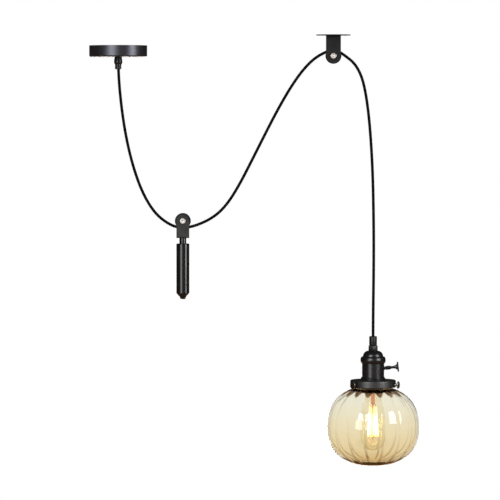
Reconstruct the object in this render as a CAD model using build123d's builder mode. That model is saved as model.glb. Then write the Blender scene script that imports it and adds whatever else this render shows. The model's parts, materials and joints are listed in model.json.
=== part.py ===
from build123d import *
import os
from math import acos, cos, degrees, pi, radians, sin, tan

# Rise-and-fall pendant lamp. A round canopy feeds a cord that runs under the pulley of a hanging
# counterweight, up over a ceiling pulley and down to a switched lampholder with a fluted glass shade.
# Millimetres. The origin is the centre of the canopy's ceiling face, +Z is up, and the cord lies in
# the plane of X and Z. Parts of the lamp turn about one upright axis, those of a pulley about a level one.

# Cord
cord_dia = 5.0
core_dia = 2.0
core_spread = 2.3
core_bend = 1.9

# Fits and clearances
cord_gap = 0.15
running_gap = 0.05
thread_gap = 0.05
hole_gap = 0.2
body_gap = 0.3

# Canopy, its bar and its screws
canopy_dia = 100.0
canopy_height = 19.7
canopy_wall = 1.2
canopy_edge = 2.4
bar_width = 16.0
bar_thick = 1.6
bar_end_gap = 3.8
slot_spacing = 54.0
slot_length = 14.0
slot_width = 4.6
canopy_screw_dia = 4.0
canopy_screw_head_dia = 7.4
canopy_screw_inset = 6.0
screw_slot_width = 0.9
screw_slot_depth = 0.9
countersink_angle = 90.0

# Terminal block under the bar
block_length = 16.0
block_width = 17.0
block_height = 7.5
block_corner = 1.3
pole_pitch = 10.0
pole_screw_dia = 3.4
pole_screw_length = 3.6
pole_screw_depth = 4.2
pole_screw_reach = 5.2
fixing_dia = 3.0
fixing_head_dia = 5.4
fixing_head_height = 2.0
lead_loop = 5.0

# Cord grip under the canopy
grip_thread_dia = 10.0
locknut_size = 17.0
locknut_height = 3.0
stub_proud = 0.4
sheath_proud = 0.7
grip_bore_dia = 8.4
grip_socket_dia = 10.0
bush_length = 5.0
lamp_bush_length = 3.0
spigot_length = 4.7
canopy_grip_top_dia = 13.0
canopy_grip_wide_dia = 15.4
canopy_grip_low_dia = 12.2
canopy_grip_wide_drop = 9.2
canopy_grip_height = 13.0
sleeve_end_dia = 11.2
sleeve_length = 8.5
sleeve_round = 1.0

# Ceiling pulley bracket
pulley_x = 371.8
plate_top = 18.7
plate_dia = 59.4
plate_thick = 1.6
plate_screw_spacing = 42.0
plate_screw_hole_dia = 4.5
ceiling_axle_drop = 36.7
ceiling_fork_width = 25.5
fork_wall = 1.6
fork_bend = 2.6
rivet_dia = 5.0
rivet_head_dia = 9.0
rivet_head_height = 2.4
rivet_flare_dia = 7.6

# Pulley wheel, bush and axle, the same at the ceiling and on the weight
sheave_dia = 27.5
sheave_width = 9.0
pitch_radius = 11.5
groove_round_gap = 0.4
rim_land = 0.9
web_recess = 1.0
hub_dia = 12.0
rim_band = 2.2
bush_dia = 8.0
bush_proud = 0.25
cheek_gap = 0.4
axle_dia = 5.0
axle_head_dia = 10.2
axle_head_height = 2.8
axle_head_edge = 0.9
axle_dimple_dia = 3.2
axle_dimple_depth = 0.7
axle_nut_size = 9.2
axle_nut_height = 4.0
axle_end_proud = 1.0

# Counterweight
weight_x = 111.5
weight_axle_z = -303.3
weight_fork_width = 22.0
weight_fork_reach = 29.5
stud_dia = 6.0
stud_head_height = 4.0
stud_grip = 14.0
neck_dia = 12.0
neck_height = 9.7
weight_dia = 22.4
weight_length = 85.8
weight_top_chamfer = 0.8
weight_foot_dia = 14.4
weight_foot_height = 4.9
tip_dia = 12.6
tip_end_dia = 7.6
tip_height = 5.4
tip_stub_length = 9.0
tip_round = 1.2

# Lamp grip and lampholder
lamp_x = 440.8
lamp_top = -502.9
lamp_cap_dia = 13.4
lamp_cap_height = 16.4
lamp_cap_chamfer = 1.0
lamp_nut_size = 15.7
lamp_nut_height = 8.7
lamp_nut_chamfer = 0.8
holder_wall = 0.9
dome_top_dia = 15.0
dome_base_dia = 35.2
dome_height = 10.4
lamp_locknut_size = 13.0
bead_top_dia = 40.6
bead_dia = 43.8
bead_height = 11.7
shell_dia = 38.4
shell_wall = 0.7
shell_length = 61.2
shell_seat_gap = 0.5
shell_lip = 1.4
core_gap = 0.2
core_length = 26.0
liner_wall = 0.6
contact_shell_dia = 28.4
contact_shell_wall = 0.7
contact_shell_length = 22.0
contact_width = 7.0
contact_thick = 0.5
contact_drop = 2.4
terminal_dia = 5.2
terminal_height = 2.4
terminal_spread = 18.0
collar_dia = 43.6
collar_top_dia = 40.4
collar_height = 4.8
collar_land = 1.6
collar_rise = 33.9

# Turn key of the switch
key_drop = 55.5
key_tilt = 6.0
key_shaft_dia = 3.6
key_shaft_inner = 9.0
key_barrel_dia = 6.6
key_barrel_gap = 0.9
key_barrel_edge = 0.6
key_barrel_end = 30.3
key_neck_dia = 4.4
key_neck_end = 35.6
key_fan_length = 6.2
key_fan_growth = ((0, 0), (0.4, 0.1), (0.75, 0.28), (1, 0.5))
key_bar_tall = 17.3
key_bar_deep = 9.0
key_bar_thick = 2.8
key_bar_round = 1.0
key_bush_dia = 8.6
key_bush_flange = 0.6
key_bush_edge = 0.2
key_bush_depth = 2.0

# Shade carrier, its ring nut and its thumbscrews
carrier_dia = 79.2
carrier_height = 12.7
carrier_wall = 1.2
carrier_edge = 2.6
ring_nut_dia = 50.0
ring_nut_height = 5.0
thumb_dia = 4.0
thumb_drop = 7.9
thumb_head_dia = 12.8
thumb_head_thick = 2.2
thumb_head_edge = 0.6
thumb_point = 0.6
thumb_waist_dia = 4.8
thumb_waist_length = 5.4
thumb_flare_length = 1.4
thumb_knurls = 16
thumb_knurl_depth = 0.5
thumb_first = 219.0
boss_dia = 8.0
boss_length = 2.8

# Glass shade
shade_dia = 160.0
shade_upper = 72.3
shade_lower = 66.3
shade_power = 2.33
shade_wall = 2.6
lobe_count = 16
lobe_depth = 0.042
lobe_first = -90.0
shade_lip_gap = 0.6
shade_lip_width = 2.3
shade_lip_height = 3.4
shade_neck_wall = 3.2
shade_shoulder = 4.26
shade_carrier_gap = 3.2
shade_upper_shares = (1, 0.88, 0.7, 0.48, 0.24)
shade_lower_angles = (0, -16, -32, -46, -58, -68, -77, -84)
lobe_fade_span = 30
lobe_fade_least = 0.1

# Bulb
bulb_contact_dia = 9.0
bulb_contact_height = 1.5
bulb_insulator_height = 3.5
bulb_base_dia = 26.2
bulb_base_length = 20.0
bulb_base_wall = 0.5
bulb_thread_pitch = 3.6
bulb_thread_depth = 0.8
bulb_glass_dia = 43.6
bulb_glass_length = 108.0
bulb_neck_dia = 25.0
bulb_neck_slope = 0.1
bulb_shoulder_drop = 60.0
bulb_wall = 1.0
stem_flare_dia = 21.0
stem_flare_edge = 1.2
stem_flare_drop = 7.0
stem_tube_dia = 7.0
stem_tube_length = 26.0
stem_rod_dia = 2.6
stem_rod_length = 62.0
stem_taper = 2.0
filament_dia = 0.6
filament_legs = 12
filament_top_radius = 6.0
filament_low_radius = 9.0
filament_bend = 1.2
filament_end_gap = 5.0
support_dia = 0.5

# Points of the cord, in X and Z, from the canopy to the lamp, and the share of a run that an arc takes
arc_share = 0.45
wheel_arc_limit = 17.0
canopy_route = [
    (0.0, -49.7),
    (6.2, -113.6),
    (14.8, -165.9),
    (26.2, -211.5),
    (40.3, -251.1),
    (57.3, -281.8),
    (75.0, -300.8),
    (99.0, -314.8),
    (123.0, -314.8),
    (136.0, -310.1),
]
middle_route = [
    (136.0, -310.1),
    (149.0, -305.4),
    (168.0, -294.0),
    (182.5, -280.5),
    (195.0, -264.0),
    (208.5, -241.7),
    (222.0, -216.3),
    (263.2, -134.4),
    (280.8, -101.6),
    (298.2, -72.0),
    (315.5, -47.0),
    (331.5, -29.0),
    (345.8, -17.9),
    (359.4, -11.2),
    (372.7, -4.75),
    (384.6, -12.8),
]
lamp_route = [
    (384.6, -12.8),
    (397.6, -21.6),
    (410.0, -33.2),
    (420.5, -52.9),
    (427.3, -80.0),
    (432.9, -118.9),
    (437.2, -170.1),
    (440.1, -227.0),
    (441.3, -284.0),
    (441.9, -345.0),
    (441.6, -407.0),
    (440.8, -470.0),
]

# Radii and heights worked out from the sizes above
cord_r = cord_dia / 2
cord_hole_r = cord_r + cord_gap
canopy_floor = -canopy_height + canopy_wall
stub_r = grip_thread_dia / 2
stub_top = canopy_floor + locknut_height + stub_proud
sheath_top = stub_top + sheath_proud
bar_reach = canopy_dia / 2 - canopy_wall - bar_end_gap
canopy_screw_x = bar_reach - canopy_screw_inset
block_low = -bar_thick - block_height
pulley_z = plate_top - ceiling_axle_drop
groove_r = pitch_radius - cord_r - body_gap
fork_slot = sheave_width + 2 * cheek_gap
fork_depth = fork_slot + 2 * fork_wall
lamp_nut_top = lamp_top - lamp_cap_height
dome_top = lamp_nut_top - lamp_nut_height
bead_top = dome_top - dome_height
bead_low = bead_top - bead_height
shell_top = bead_top - holder_wall - shell_seat_gap
shell_r = shell_dia / 2
shell_bore_r = shell_r - shell_wall
shell_low = shell_top - shell_length
core_low = shell_top - core_length
lamp_stub_low = dome_top - holder_wall - locknut_height - stub_proud
lamp_sheath_low = lamp_stub_low - stub_proud
collar_top = shell_top - collar_rise
carrier_top = collar_top - collar_height
carrier_low = carrier_top - carrier_height
carrier_r = carrier_dia / 2
carrier_bore_r = carrier_r - carrier_wall
thumb_z = carrier_top - thumb_drop
lip_r = carrier_bore_r - boss_length - shade_lip_gap
neck_r = lip_r - shade_lip_width
shade_bore_r = neck_r - shade_neck_wall
shoulder_share = (neck_r + shade_shoulder) / (shade_dia / 2)
shade_neck_angle = degrees(acos(shoulder_share ** (shade_power / 2)))
shade_rise = shade_upper * sin(radians(shade_neck_angle)) ** (2 / shade_power)
shade_middle = carrier_low - shade_carrier_gap - shade_rise
shade_angles = [shade_neck_angle * share for share in shade_upper_shares] + list(shade_lower_angles)
contact_low = core_low - contact_drop
bulb_top = contact_low - body_gap
bulb_base_top = bulb_top - bulb_contact_height - bulb_insulator_height
bulb_base_low = bulb_base_top - bulb_base_length
bulb_low = bulb_base_low - bulb_glass_length
key_z = lamp_top - key_drop

os.makedirs("parts", exist_ok=True)


def finish(builder, label):
    """Name a finished piece and write its file."""
    builder.part.label = label
    export_step(builder.part, f"parts/{label}.step")


def upright_plane(x):
    """Plane through the upright axis at x: local x is the radius, local y the height."""
    return Plane(origin=(x, 0, 0), x_dir=(1, 0, 0), z_dir=(0, -1, 0))


def upright_axis(x):
    """Upright axis at x."""
    return Axis((x, 0, 0), (0, 0, 1))


def outline_face(points, plane):
    """Closed face of straight sides in a plane."""
    with BuildSketch(plane) as section:
        with BuildLine():
            Polyline(*points, close=True)
        make_face()
    return section.sketch


def turn(points, x, mode=Mode.ADD):
    """Turn (radius, height) points about the upright axis at x, inside the part that is open."""
    revolve(outline_face(points, upright_plane(x)), axis=upright_axis(x), mode=mode)


def tube_outline(inner, outer, low, high):
    """Four corners of a plain tube's section."""
    return [(inner, low), (outer, low), (outer, high), (inner, high)]


def radial_plane(origin, direction, across):
    """Plane with local y along direction and local x along across, to turn a piece about direction."""
    return Plane(origin=origin, x_dir=across, z_dir=Vector(*across).cross(Vector(*direction)))


def screw_slot(x, y, z, diameter, up):
    """Cut a driver slot into a screw's face at z, inside the part that is open."""
    with Locations((x, y, z - up * screw_slot_depth / 2)):
        Box(diameter + screw_slot_width, screw_slot_width, screw_slot_depth, mode=Mode.SUBTRACT)


def hexagon(x, z, size, height):
    """Add a hexagonal prism of the given size across corners that stands on z."""
    with BuildSketch(Plane(origin=(x, 0, z))) as section:
        RegularPolygon(radius=size / 2, side_count=6)
    extrude(section.sketch, amount=height)


# Mounting bar, screwed to the ceiling box
with BuildPart() as mounting_bar:
    with BuildSketch(Plane.XY.offset(-bar_thick)):
        SlotOverall(2 * bar_reach, bar_width)
        with GridLocations(slot_spacing, 0, 2, 1):
            SlotOverall(slot_length, slot_width, mode=Mode.SUBTRACT)
        with GridLocations(2 * canopy_screw_x, 0, 2, 1):
            Circle(canopy_screw_dia / 2 + thread_gap, mode=Mode.SUBTRACT)
        Circle(fixing_dia / 2 + thread_gap, mode=Mode.SUBTRACT)
    extrude(amount=bar_thick)
finish(mounting_bar, "mounting_bar")

# Canopy cover, a pressed pan that is open towards the ceiling
with BuildPart() as canopy_cover:
    with BuildSketch(Plane.XY):
        Circle(canopy_dia / 2)
    extrude(amount=-canopy_height)
    fillet(canopy_cover.edges().group_by(Axis.Z)[0], radius=canopy_edge)
    offset(amount=-canopy_wall, openings=canopy_cover.faces().sort_by(Axis.Z)[-1])
    with BuildSketch(Plane.XY.offset(-canopy_height)):
        Circle(stub_r + hole_gap)
    extrude(amount=canopy_wall, mode=Mode.SUBTRACT)
    with Locations(
        Plane(origin=(canopy_screw_x, 0, -canopy_height), z_dir=(0, 0, -1)),
        Plane(origin=(-canopy_screw_x, 0, -canopy_height), z_dir=(0, 0, -1)),
    ):
        CounterSinkHole(
            canopy_screw_dia / 2 + hole_gap,
            canopy_screw_head_dia / 2,
            depth=canopy_height,
            counter_sink_angle=countersink_angle,
        )
finish(canopy_cover, "canopy_cover")

# Two countersunk screws that pull the canopy up to the bar
with BuildPart() as canopy_screws:
    head_r = canopy_screw_head_dia / 2 - running_gap
    shank_r = canopy_screw_dia / 2
    for side in (-1, 1):
        turn(
            [
                (0, -canopy_height),
                (head_r, -canopy_height),
                (shank_r, -canopy_height + head_r - shank_r),
                (shank_r, 0),
                (0, 0),
            ],
            side * canopy_screw_x,
        )
        screw_slot(side * canopy_screw_x, 0, -canopy_height, canopy_screw_head_dia, -1)
finish(canopy_screws, "canopy_screws")

# Terminal block, hung under the bar
with BuildPart() as terminal_block:
    with BuildSketch(Plane.XY.offset(block_low)):
        RectangleRounded(block_length, block_width, block_corner)
        Circle(fixing_dia / 2 + hole_gap, mode=Mode.SUBTRACT)
    extrude(amount=block_height)
    with BuildSketch(Plane.XY.offset(block_low)):
        with GridLocations(pole_pitch, 2 * pole_screw_reach, 2, 2):
            Circle(pole_screw_dia / 2 + running_gap)
    extrude(amount=pole_screw_depth, mode=Mode.SUBTRACT)
    with BuildSketch(Plane.XY.offset(block_low)):
        Circle(fixing_head_dia / 2 + hole_gap)
    extrude(amount=fixing_head_height, mode=Mode.SUBTRACT)
finish(terminal_block, "terminal_block")

# Clamping screws of the terminal block
with BuildPart() as terminal_screws:
    pole_screw_top = block_low + pole_screw_depth
    for x in (-pole_pitch / 2, pole_pitch / 2):
        for y in (-pole_screw_reach, pole_screw_reach):
            with BuildSketch(Plane(origin=(x, y, pole_screw_top))) as pole_section:
                Circle(pole_screw_dia / 2)
            extrude(pole_section.sketch, amount=-pole_screw_length)
            screw_slot(x, y, pole_screw_top - pole_screw_length, pole_screw_dia, -1)
finish(terminal_screws, "terminal_screws")

# Screw that holds the block to the bar
with BuildPart() as block_screw:
    head_top = block_low + fixing_head_height
    turn(
        [
            (0, block_low),
            (fixing_head_dia / 2, block_low),
            (fixing_head_dia / 2, head_top),
            (fixing_dia / 2, head_top),
            (fixing_dia / 2, 0),
            (0, 0),
        ],
        0,
    )
    screw_slot(0, 0, block_low, fixing_head_dia, -1)
finish(block_screw, "block_screw")

# Two cores of the cord, from the end of its sheath round into the block's side
with BuildPart() as canopy_leads:
    lead_level = (sheath_top + block_low) / 2
    lead_reach = block_width / 2 + lead_loop
    for side in (-1, 1):
        lead_points = [
            (side * core_spread / 2, 0, sheath_top),
            (side * core_spread / 2, 0, lead_level),
            (side * pole_pitch / 2, lead_reach, lead_level),
            (side * pole_pitch / 2, lead_reach, block_low + block_height / 2),
            (side * pole_pitch / 2, block_width / 2, block_low + block_height / 2),
        ]
        with BuildLine() as lead_path:
            FilletPolyline(*lead_points, radius=core_bend)
        with BuildSketch(Plane(origin=lead_path.line @ 0, z_dir=lead_path.line % 0)) as lead_section:
            Circle(core_dia / 2)
        sweep(lead_section.sketch, path=lead_path.line)
finish(canopy_leads, "canopy_leads")

# Cord grip under the canopy: body with its threaded stub, lock nut, rubber bush and tapered sleeve
grip_low = -canopy_height - canopy_grip_height
spigot_top = grip_low + spigot_length
bush_top = spigot_top + bush_length
with BuildPart() as canopy_grip_body:
    hexagon(0, grip_low, canopy_grip_wide_dia, canopy_grip_height)
    grip_outer = [
        (0, grip_low),
        (canopy_grip_low_dia / 2, grip_low),
        (canopy_grip_wide_dia / 2, -canopy_height - canopy_grip_wide_drop),
        (canopy_grip_top_dia / 2, -canopy_height),
        (0, -canopy_height),
    ]
    turn(grip_outer, 0, mode=Mode.INTERSECT)
    turn(tube_outline(0, stub_r, -canopy_height, stub_top), 0)
    turn(tube_outline(0, cord_hole_r, grip_low, stub_top), 0, mode=Mode.SUBTRACT)
    turn(tube_outline(0, grip_bore_dia / 2, grip_low, bush_top), 0, mode=Mode.SUBTRACT)
    turn(tube_outline(0, grip_socket_dia / 2, grip_low, spigot_top), 0, mode=Mode.SUBTRACT)
finish(canopy_grip_body, "canopy_grip_body")

with BuildPart() as canopy_grip_locknut:
    hexagon(0, canopy_floor, locknut_size, locknut_height)
    turn(
        tube_outline(0, stub_r + thread_gap, canopy_floor, canopy_floor + locknut_height),
        0,
        mode=Mode.SUBTRACT,
    )
finish(canopy_grip_locknut, "canopy_grip_locknut")

with BuildPart() as canopy_grip_bush:
    turn(
        tube_outline(cord_r + running_gap, grip_bore_dia / 2 - running_gap, spigot_top, bush_top),
        0,
    )
finish(canopy_grip_bush, "canopy_grip_bush")

with BuildPart() as canopy_grip_sleeve:
    sleeve_low = grip_low - sleeve_length
    sleeve_outline = [
        (cord_hole_r, sleeve_low),
        (sleeve_end_dia / 2, sleeve_low),
        (canopy_grip_low_dia / 2, grip_low),
        (grip_socket_dia / 2 - thread_gap, grip_low),
        (grip_socket_dia / 2 - thread_gap, spigot_top),
        (cord_hole_r, spigot_top),
    ]
    turn(sleeve_outline, 0)
    sleeve_rim = canopy_grip_sleeve.edges().group_by(Axis.Z)[0].sort_by(SortBy.LENGTH)[-1]
    fillet(sleeve_rim, radius=sleeve_round)
finish(canopy_grip_sleeve, "canopy_grip_sleeve")

# Ceiling plate of the pulley bracket
with BuildPart() as pulley_plate:
    with BuildSketch(Plane(origin=(pulley_x, 0, plate_top - plate_thick))):
        Circle(plate_dia / 2)
        with GridLocations(plate_screw_spacing, 0, 2, 1):
            Circle(plate_screw_hole_dia / 2, mode=Mode.SUBTRACT)
    extrude(amount=plate_thick)
    with Locations((pulley_x, 0, plate_top)):
        CounterSinkHole(
            rivet_dia / 2 + running_gap,
            rivet_flare_dia / 2 + running_gap,
            depth=plate_thick,
            counter_sink_angle=countersink_angle,
        )
finish(pulley_plate, "pulley_plate")


def fork(axle_x, axle_z, width, web_z, centre_hole_r):
    """Bent U of flat bar with round ends about the axle, added inside the part that is open.

    web_z is the outer face of its web, above or below the axle.
    """
    up = 1 if web_z > axle_z else -1
    with BuildSketch(upright_plane(axle_x)) as cheek:
        with Locations((0, axle_z)):
            Circle(width / 2)
        with Locations((0, (axle_z + web_z) / 2)):
            Rectangle(width, abs(web_z - axle_z))
    extrude(cheek.sketch, amount=fork_depth / 2, both=True)
    web = edges().filter_by(Axis.X).group_by(Axis.Z)[-1 if up > 0 else 0]
    fillet(web, radius=fork_bend)
    slot_end = web_z - up * fork_wall
    slot_start = axle_z - up * width
    slot_middle = (axle_x, 0, (slot_end + slot_start) / 2)
    with BuildSketch(Plane(origin=slot_middle, x_dir=(0, 1, 0), z_dir=(1, 0, 0))) as slot:
        Rectangle(fork_slot, abs(slot_end - slot_start))
    extrude(slot.sketch, amount=width, both=True, mode=Mode.SUBTRACT)
    with BuildSketch(upright_plane(axle_x)) as axle_hole:
        with Locations((0, axle_z)):
            Circle(axle_dia / 2 + running_gap)
    extrude(axle_hole.sketch, amount=fork_depth, both=True, mode=Mode.SUBTRACT)
    turn(tube_outline(0, centre_hole_r, min(web_z, slot_end), max(web_z, slot_end)), axle_x, Mode.SUBTRACT)


def sheave(axle_x, axle_z):
    """Grooved wheel turned about its level axle, added inside the part that is open."""
    half = sheave_width / 2
    rim_r = sheave_dia / 2
    groove_round = cord_r + groove_round_gap
    with BuildSketch(Plane(origin=(axle_x, 0, axle_z))) as section:
        with BuildLine():
            side = [
                (groove_r + groove_round, groove_round),
                (rim_r, half - rim_land),
                (rim_r, half),
                (rim_r - rim_band, half),
                (rim_r - rim_band, half - web_recess),
                (hub_dia / 2, half - web_recess),
                (hub_dia / 2, half),
                (bush_dia / 2, half),
            ]
            other = [(r, -y) for r, y in reversed(side)]
            Polyline(*side, *other)
            ThreePointArc(other[-1], (groove_r, 0), side[0])
        make_face()
    revolve(section.sketch, axis=Axis((axle_x, 0, axle_z), (0, 1, 0)))


def level_turn(points, axle_x, axle_z):
    """Turn (radius, Y) points about the level axle, inside the part that is open."""
    revolve(
        outline_face(points, Plane(origin=(axle_x, 0, axle_z))),
        axis=Axis((axle_x, 0, axle_z), (0, 1, 0)),
    )


def axle_bolt(axle_x, axle_z):
    """Domed pin with a dimpled head at the front, added inside the part that is open."""
    front = -fork_depth / 2
    back = fork_depth / 2 + axle_nut_height + axle_end_proud
    head_r = axle_head_dia / 2
    with BuildSketch(Plane(origin=(axle_x, 0, axle_z))) as section:
        with BuildLine():
            Polyline(
                (axle_dimple_dia / 2, front - axle_head_height),
                (0, front - axle_head_height + axle_dimple_depth),
                (0, back),
                (axle_dia / 2, back),
                (axle_dia / 2, front),
                (head_r, front),
                (head_r, front - axle_head_edge),
            )
            RadiusArc(
                (head_r, front - axle_head_edge),
                (axle_dimple_dia / 2, front - axle_head_height),
                -head_r,
            )
        make_face()
    revolve(section.sketch, axis=Axis((axle_x, 0, axle_z), (0, 1, 0)))


def axle_nut(axle_x, axle_z):
    """Hexagonal nut behind the fork, added inside the part that is open."""
    with BuildSketch(Plane(origin=(axle_x, fork_depth / 2, axle_z), z_dir=(0, 1, 0))) as section:
        RegularPolygon(radius=axle_nut_size / 2, side_count=6)
        Circle(axle_dia / 2 + thread_gap, mode=Mode.SUBTRACT)
    extrude(section.sketch, amount=axle_nut_height)


def sheave_bush(axle_x, axle_z):
    """Bearing sleeve of a wheel, a little longer than its hub, added inside the part that is open."""
    bush_half = sheave_width / 2 + bush_proud
    level_turn(
        tube_outline(axle_dia / 2 + running_gap, bush_dia / 2, -bush_half, bush_half),
        axle_x,
        axle_z,
    )


with BuildPart() as ceiling_fork:
    fork(pulley_x, pulley_z, ceiling_fork_width, plate_top - plate_thick, rivet_dia / 2 + running_gap)
finish(ceiling_fork, "ceiling_fork")

# Rivet that joins fork and plate, flush with the ceiling face
with BuildPart() as fork_rivet:
    rivet_seat = plate_top - plate_thick - fork_wall
    flare_depth = (rivet_flare_dia - rivet_dia) / 2
    with BuildSketch(upright_plane(pulley_x)) as rivet_section:
        with BuildLine():
            Polyline(
                (rivet_head_dia / 2, rivet_seat),
                (rivet_dia / 2, rivet_seat),
                (rivet_dia / 2, plate_top - flare_depth),
                (rivet_flare_dia / 2, plate_top),
                (0, plate_top),
                (0, rivet_seat - rivet_head_height),
            )
            RadiusArc(
                (rivet_head_dia / 2, rivet_seat),
                (0, rivet_seat - rivet_head_height),
                (rivet_head_dia**2 / 4 + rivet_head_height**2) / (2 * rivet_head_height),
            )
        make_face()
    revolve(rivet_section.sketch, axis=upright_axis(pulley_x))
finish(fork_rivet, "fork_rivet")

with BuildPart() as ceiling_axle:
    axle_bolt(pulley_x, pulley_z)
finish(ceiling_axle, "ceiling_axle")

with BuildPart() as ceiling_axle_nut:
    axle_nut(pulley_x, pulley_z)
finish(ceiling_axle_nut, "ceiling_axle_nut")

with BuildPart() as ceiling_sheave:
    sheave(pulley_x, pulley_z)
finish(ceiling_sheave, "ceiling_sheave")

with BuildPart() as ceiling_sheave_bush:
    sheave_bush(pulley_x, pulley_z)
finish(ceiling_sheave_bush, "ceiling_sheave_bush")

# Counterweight: fork, axle, wheel, bolt, neck, bar and end plug
weight_web = weight_axle_z - weight_fork_reach
weight_seat = weight_web + fork_wall
weight_top = weight_web - neck_height
weight_low = weight_top - weight_length
weight_foot = weight_low - weight_foot_height
stud_r = stud_dia / 2

with BuildPart() as weight_fork:
    fork(weight_x, weight_axle_z, weight_fork_width, weight_web, stud_r + hole_gap)
finish(weight_fork, "weight_fork")

with BuildPart() as weight_axle:
    axle_bolt(weight_x, weight_axle_z)
finish(weight_axle, "weight_axle")

with BuildPart() as weight_axle_nut:
    axle_nut(weight_x, weight_axle_z)
finish(weight_axle_nut, "weight_axle_nut")

with BuildPart() as weight_sheave:
    sheave(weight_x, weight_axle_z)
finish(weight_sheave, "weight_sheave")

with BuildPart() as weight_sheave_bush:
    sheave_bush(weight_x, weight_axle_z)
finish(weight_sheave_bush, "weight_sheave_bush")

with BuildPart() as weight_bolt:
    hexagon(weight_x, weight_seat, (fork_slot - body_gap) / cos(radians(30)), stud_head_height)
    turn(tube_outline(0, stud_r, weight_top - stud_grip, weight_seat), weight_x)
finish(weight_bolt, "weight_bolt")

with BuildPart() as weight_neck:
    turn(tube_outline(stud_r + hole_gap, neck_dia / 2, weight_top, weight_web), weight_x)
finish(weight_neck, "weight_neck")

with BuildPart() as weight_bar:
    weight_r = weight_dia / 2
    weight_outline = [
        (0, weight_top),
        (weight_r - weight_top_chamfer, weight_top),
        (weight_r, weight_top - weight_top_chamfer),
        (weight_r, weight_low),
        (weight_foot_dia / 2, weight_foot),
        (0, weight_foot),
    ]
    turn(weight_outline, weight_x)
    turn(tube_outline(0, stud_r + thread_gap, weight_top - stud_grip, weight_top), weight_x, Mode.SUBTRACT)
    tip_hole = tube_outline(0, stud_r + thread_gap, weight_foot, weight_foot + tip_stub_length)
    turn(tip_hole, weight_x, Mode.SUBTRACT)
finish(weight_bar, "weight_bar")

with BuildPart() as weight_tip:
    tip_outline = [
        (0, weight_foot - tip_height),
        (tip_end_dia / 2, weight_foot - tip_height),
        (tip_dia / 2, weight_foot),
        (stud_r, weight_foot),
        (stud_r, weight_foot + tip_stub_length),
        (0, weight_foot + tip_stub_length),
    ]
    turn(tip_outline, weight_x)
    fillet(weight_tip.edges().group_by(Axis.Z)[0], radius=tip_round)
finish(weight_tip, "weight_tip")

# Cord grip on top of the lamp: cap, bush and hexagonal body with its stub and lock nut
lamp_spigot_low = lamp_nut_top - spigot_length
lamp_bush_low = lamp_spigot_low - lamp_bush_length
with BuildPart() as lamp_grip_cap:
    cap_r = lamp_cap_dia / 2
    cap_outline = [
        (cord_hole_r, lamp_top),
        (cap_r - lamp_cap_chamfer, lamp_top),
        (cap_r, lamp_top - lamp_cap_chamfer),
        (cap_r, lamp_nut_top),
        (grip_socket_dia / 2 - thread_gap, lamp_nut_top),
        (grip_socket_dia / 2 - thread_gap, lamp_spigot_low),
        (cord_hole_r, lamp_spigot_low),
    ]
    turn(cap_outline, lamp_x)
finish(lamp_grip_cap, "lamp_grip_cap")

with BuildPart() as lamp_grip_body:
    nut_r = lamp_nut_size / 2
    hexagon(lamp_x, dome_top, lamp_nut_size, lamp_nut_height)
    nut_limit = [
        (0, dome_top),
        (nut_r - lamp_nut_chamfer, dome_top),
        (nut_r, dome_top + lamp_nut_chamfer),
        (nut_r, lamp_nut_top - lamp_nut_chamfer),
        (nut_r - lamp_nut_chamfer, lamp_nut_top),
        (0, lamp_nut_top),
    ]
    turn(nut_limit, lamp_x, Mode.INTERSECT)
    turn(tube_outline(0, stub_r, lamp_stub_low, dome_top), lamp_x)
    turn(tube_outline(0, cord_hole_r, lamp_stub_low, lamp_nut_top), lamp_x, Mode.SUBTRACT)
    turn(tube_outline(0, grip_bore_dia / 2, lamp_bush_low, lamp_nut_top), lamp_x, Mode.SUBTRACT)
    turn(tube_outline(0, grip_socket_dia / 2, lamp_spigot_low, lamp_nut_top), lamp_x, Mode.SUBTRACT)
finish(lamp_grip_body, "lamp_grip_body")

with BuildPart() as lamp_grip_bush:
    turn(
        tube_outline(cord_r + running_gap, grip_bore_dia / 2 - running_gap, lamp_bush_low, lamp_spigot_low),
        lamp_x,
    )
finish(lamp_grip_bush, "lamp_grip_bush")

with BuildPart() as lamp_grip_locknut:
    locknut_top = dome_top - holder_wall
    hexagon(lamp_x, locknut_top - locknut_height, lamp_locknut_size, locknut_height)
    turn(
        tube_outline(0, stub_r + thread_gap, locknut_top - locknut_height, locknut_top),
        lamp_x,
        Mode.SUBTRACT,
    )
finish(lamp_grip_locknut, "lamp_grip_locknut")

# Lampholder cap: a dome over a rolled bead
with BuildPart() as socket_cap:
    rim_r = shell_r + cord_gap
    bead_mid = (bead_top + bead_low) / 2
    dome_base_r = dome_base_dia / 2
    dome_top_r = dome_top_dia / 2
    with BuildSketch(upright_plane(lamp_x)) as cap_section:
        with BuildLine():
            Line((stub_r + hole_gap, dome_top), (dome_top_r, dome_top))
            TangentArc((dome_top_r, dome_top), (dome_base_r, bead_top), tangent=(1, 0))
            Line((dome_base_r, bead_top), (bead_top_dia / 2, bead_top))
            ThreePointArc(
                (bead_top_dia / 2, bead_top),
                (bead_dia / 2, bead_mid),
                (rim_r + holder_wall, bead_low),
            )
            Line((rim_r + holder_wall, bead_low), (rim_r, bead_low))
            ThreePointArc(
                (rim_r, bead_low),
                (bead_dia / 2 - holder_wall, bead_mid),
                (bead_top_dia / 2 - holder_wall, shell_top),
            )
            Line((bead_top_dia / 2 - holder_wall, shell_top), (dome_base_r - holder_wall, shell_top))
            TangentArc(
                (dome_top_r, dome_top - holder_wall),
                (dome_base_r - holder_wall, shell_top),
                tangent=(1, 0),
            )
            Polyline(
                (dome_top_r, dome_top - holder_wall),
                (stub_r + hole_gap, dome_top - holder_wall),
                (stub_r + hole_gap, dome_top),
            )
        make_face()
    revolve(cap_section.sketch, axis=upright_axis(lamp_x))
finish(socket_cap, "socket_cap")

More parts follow.
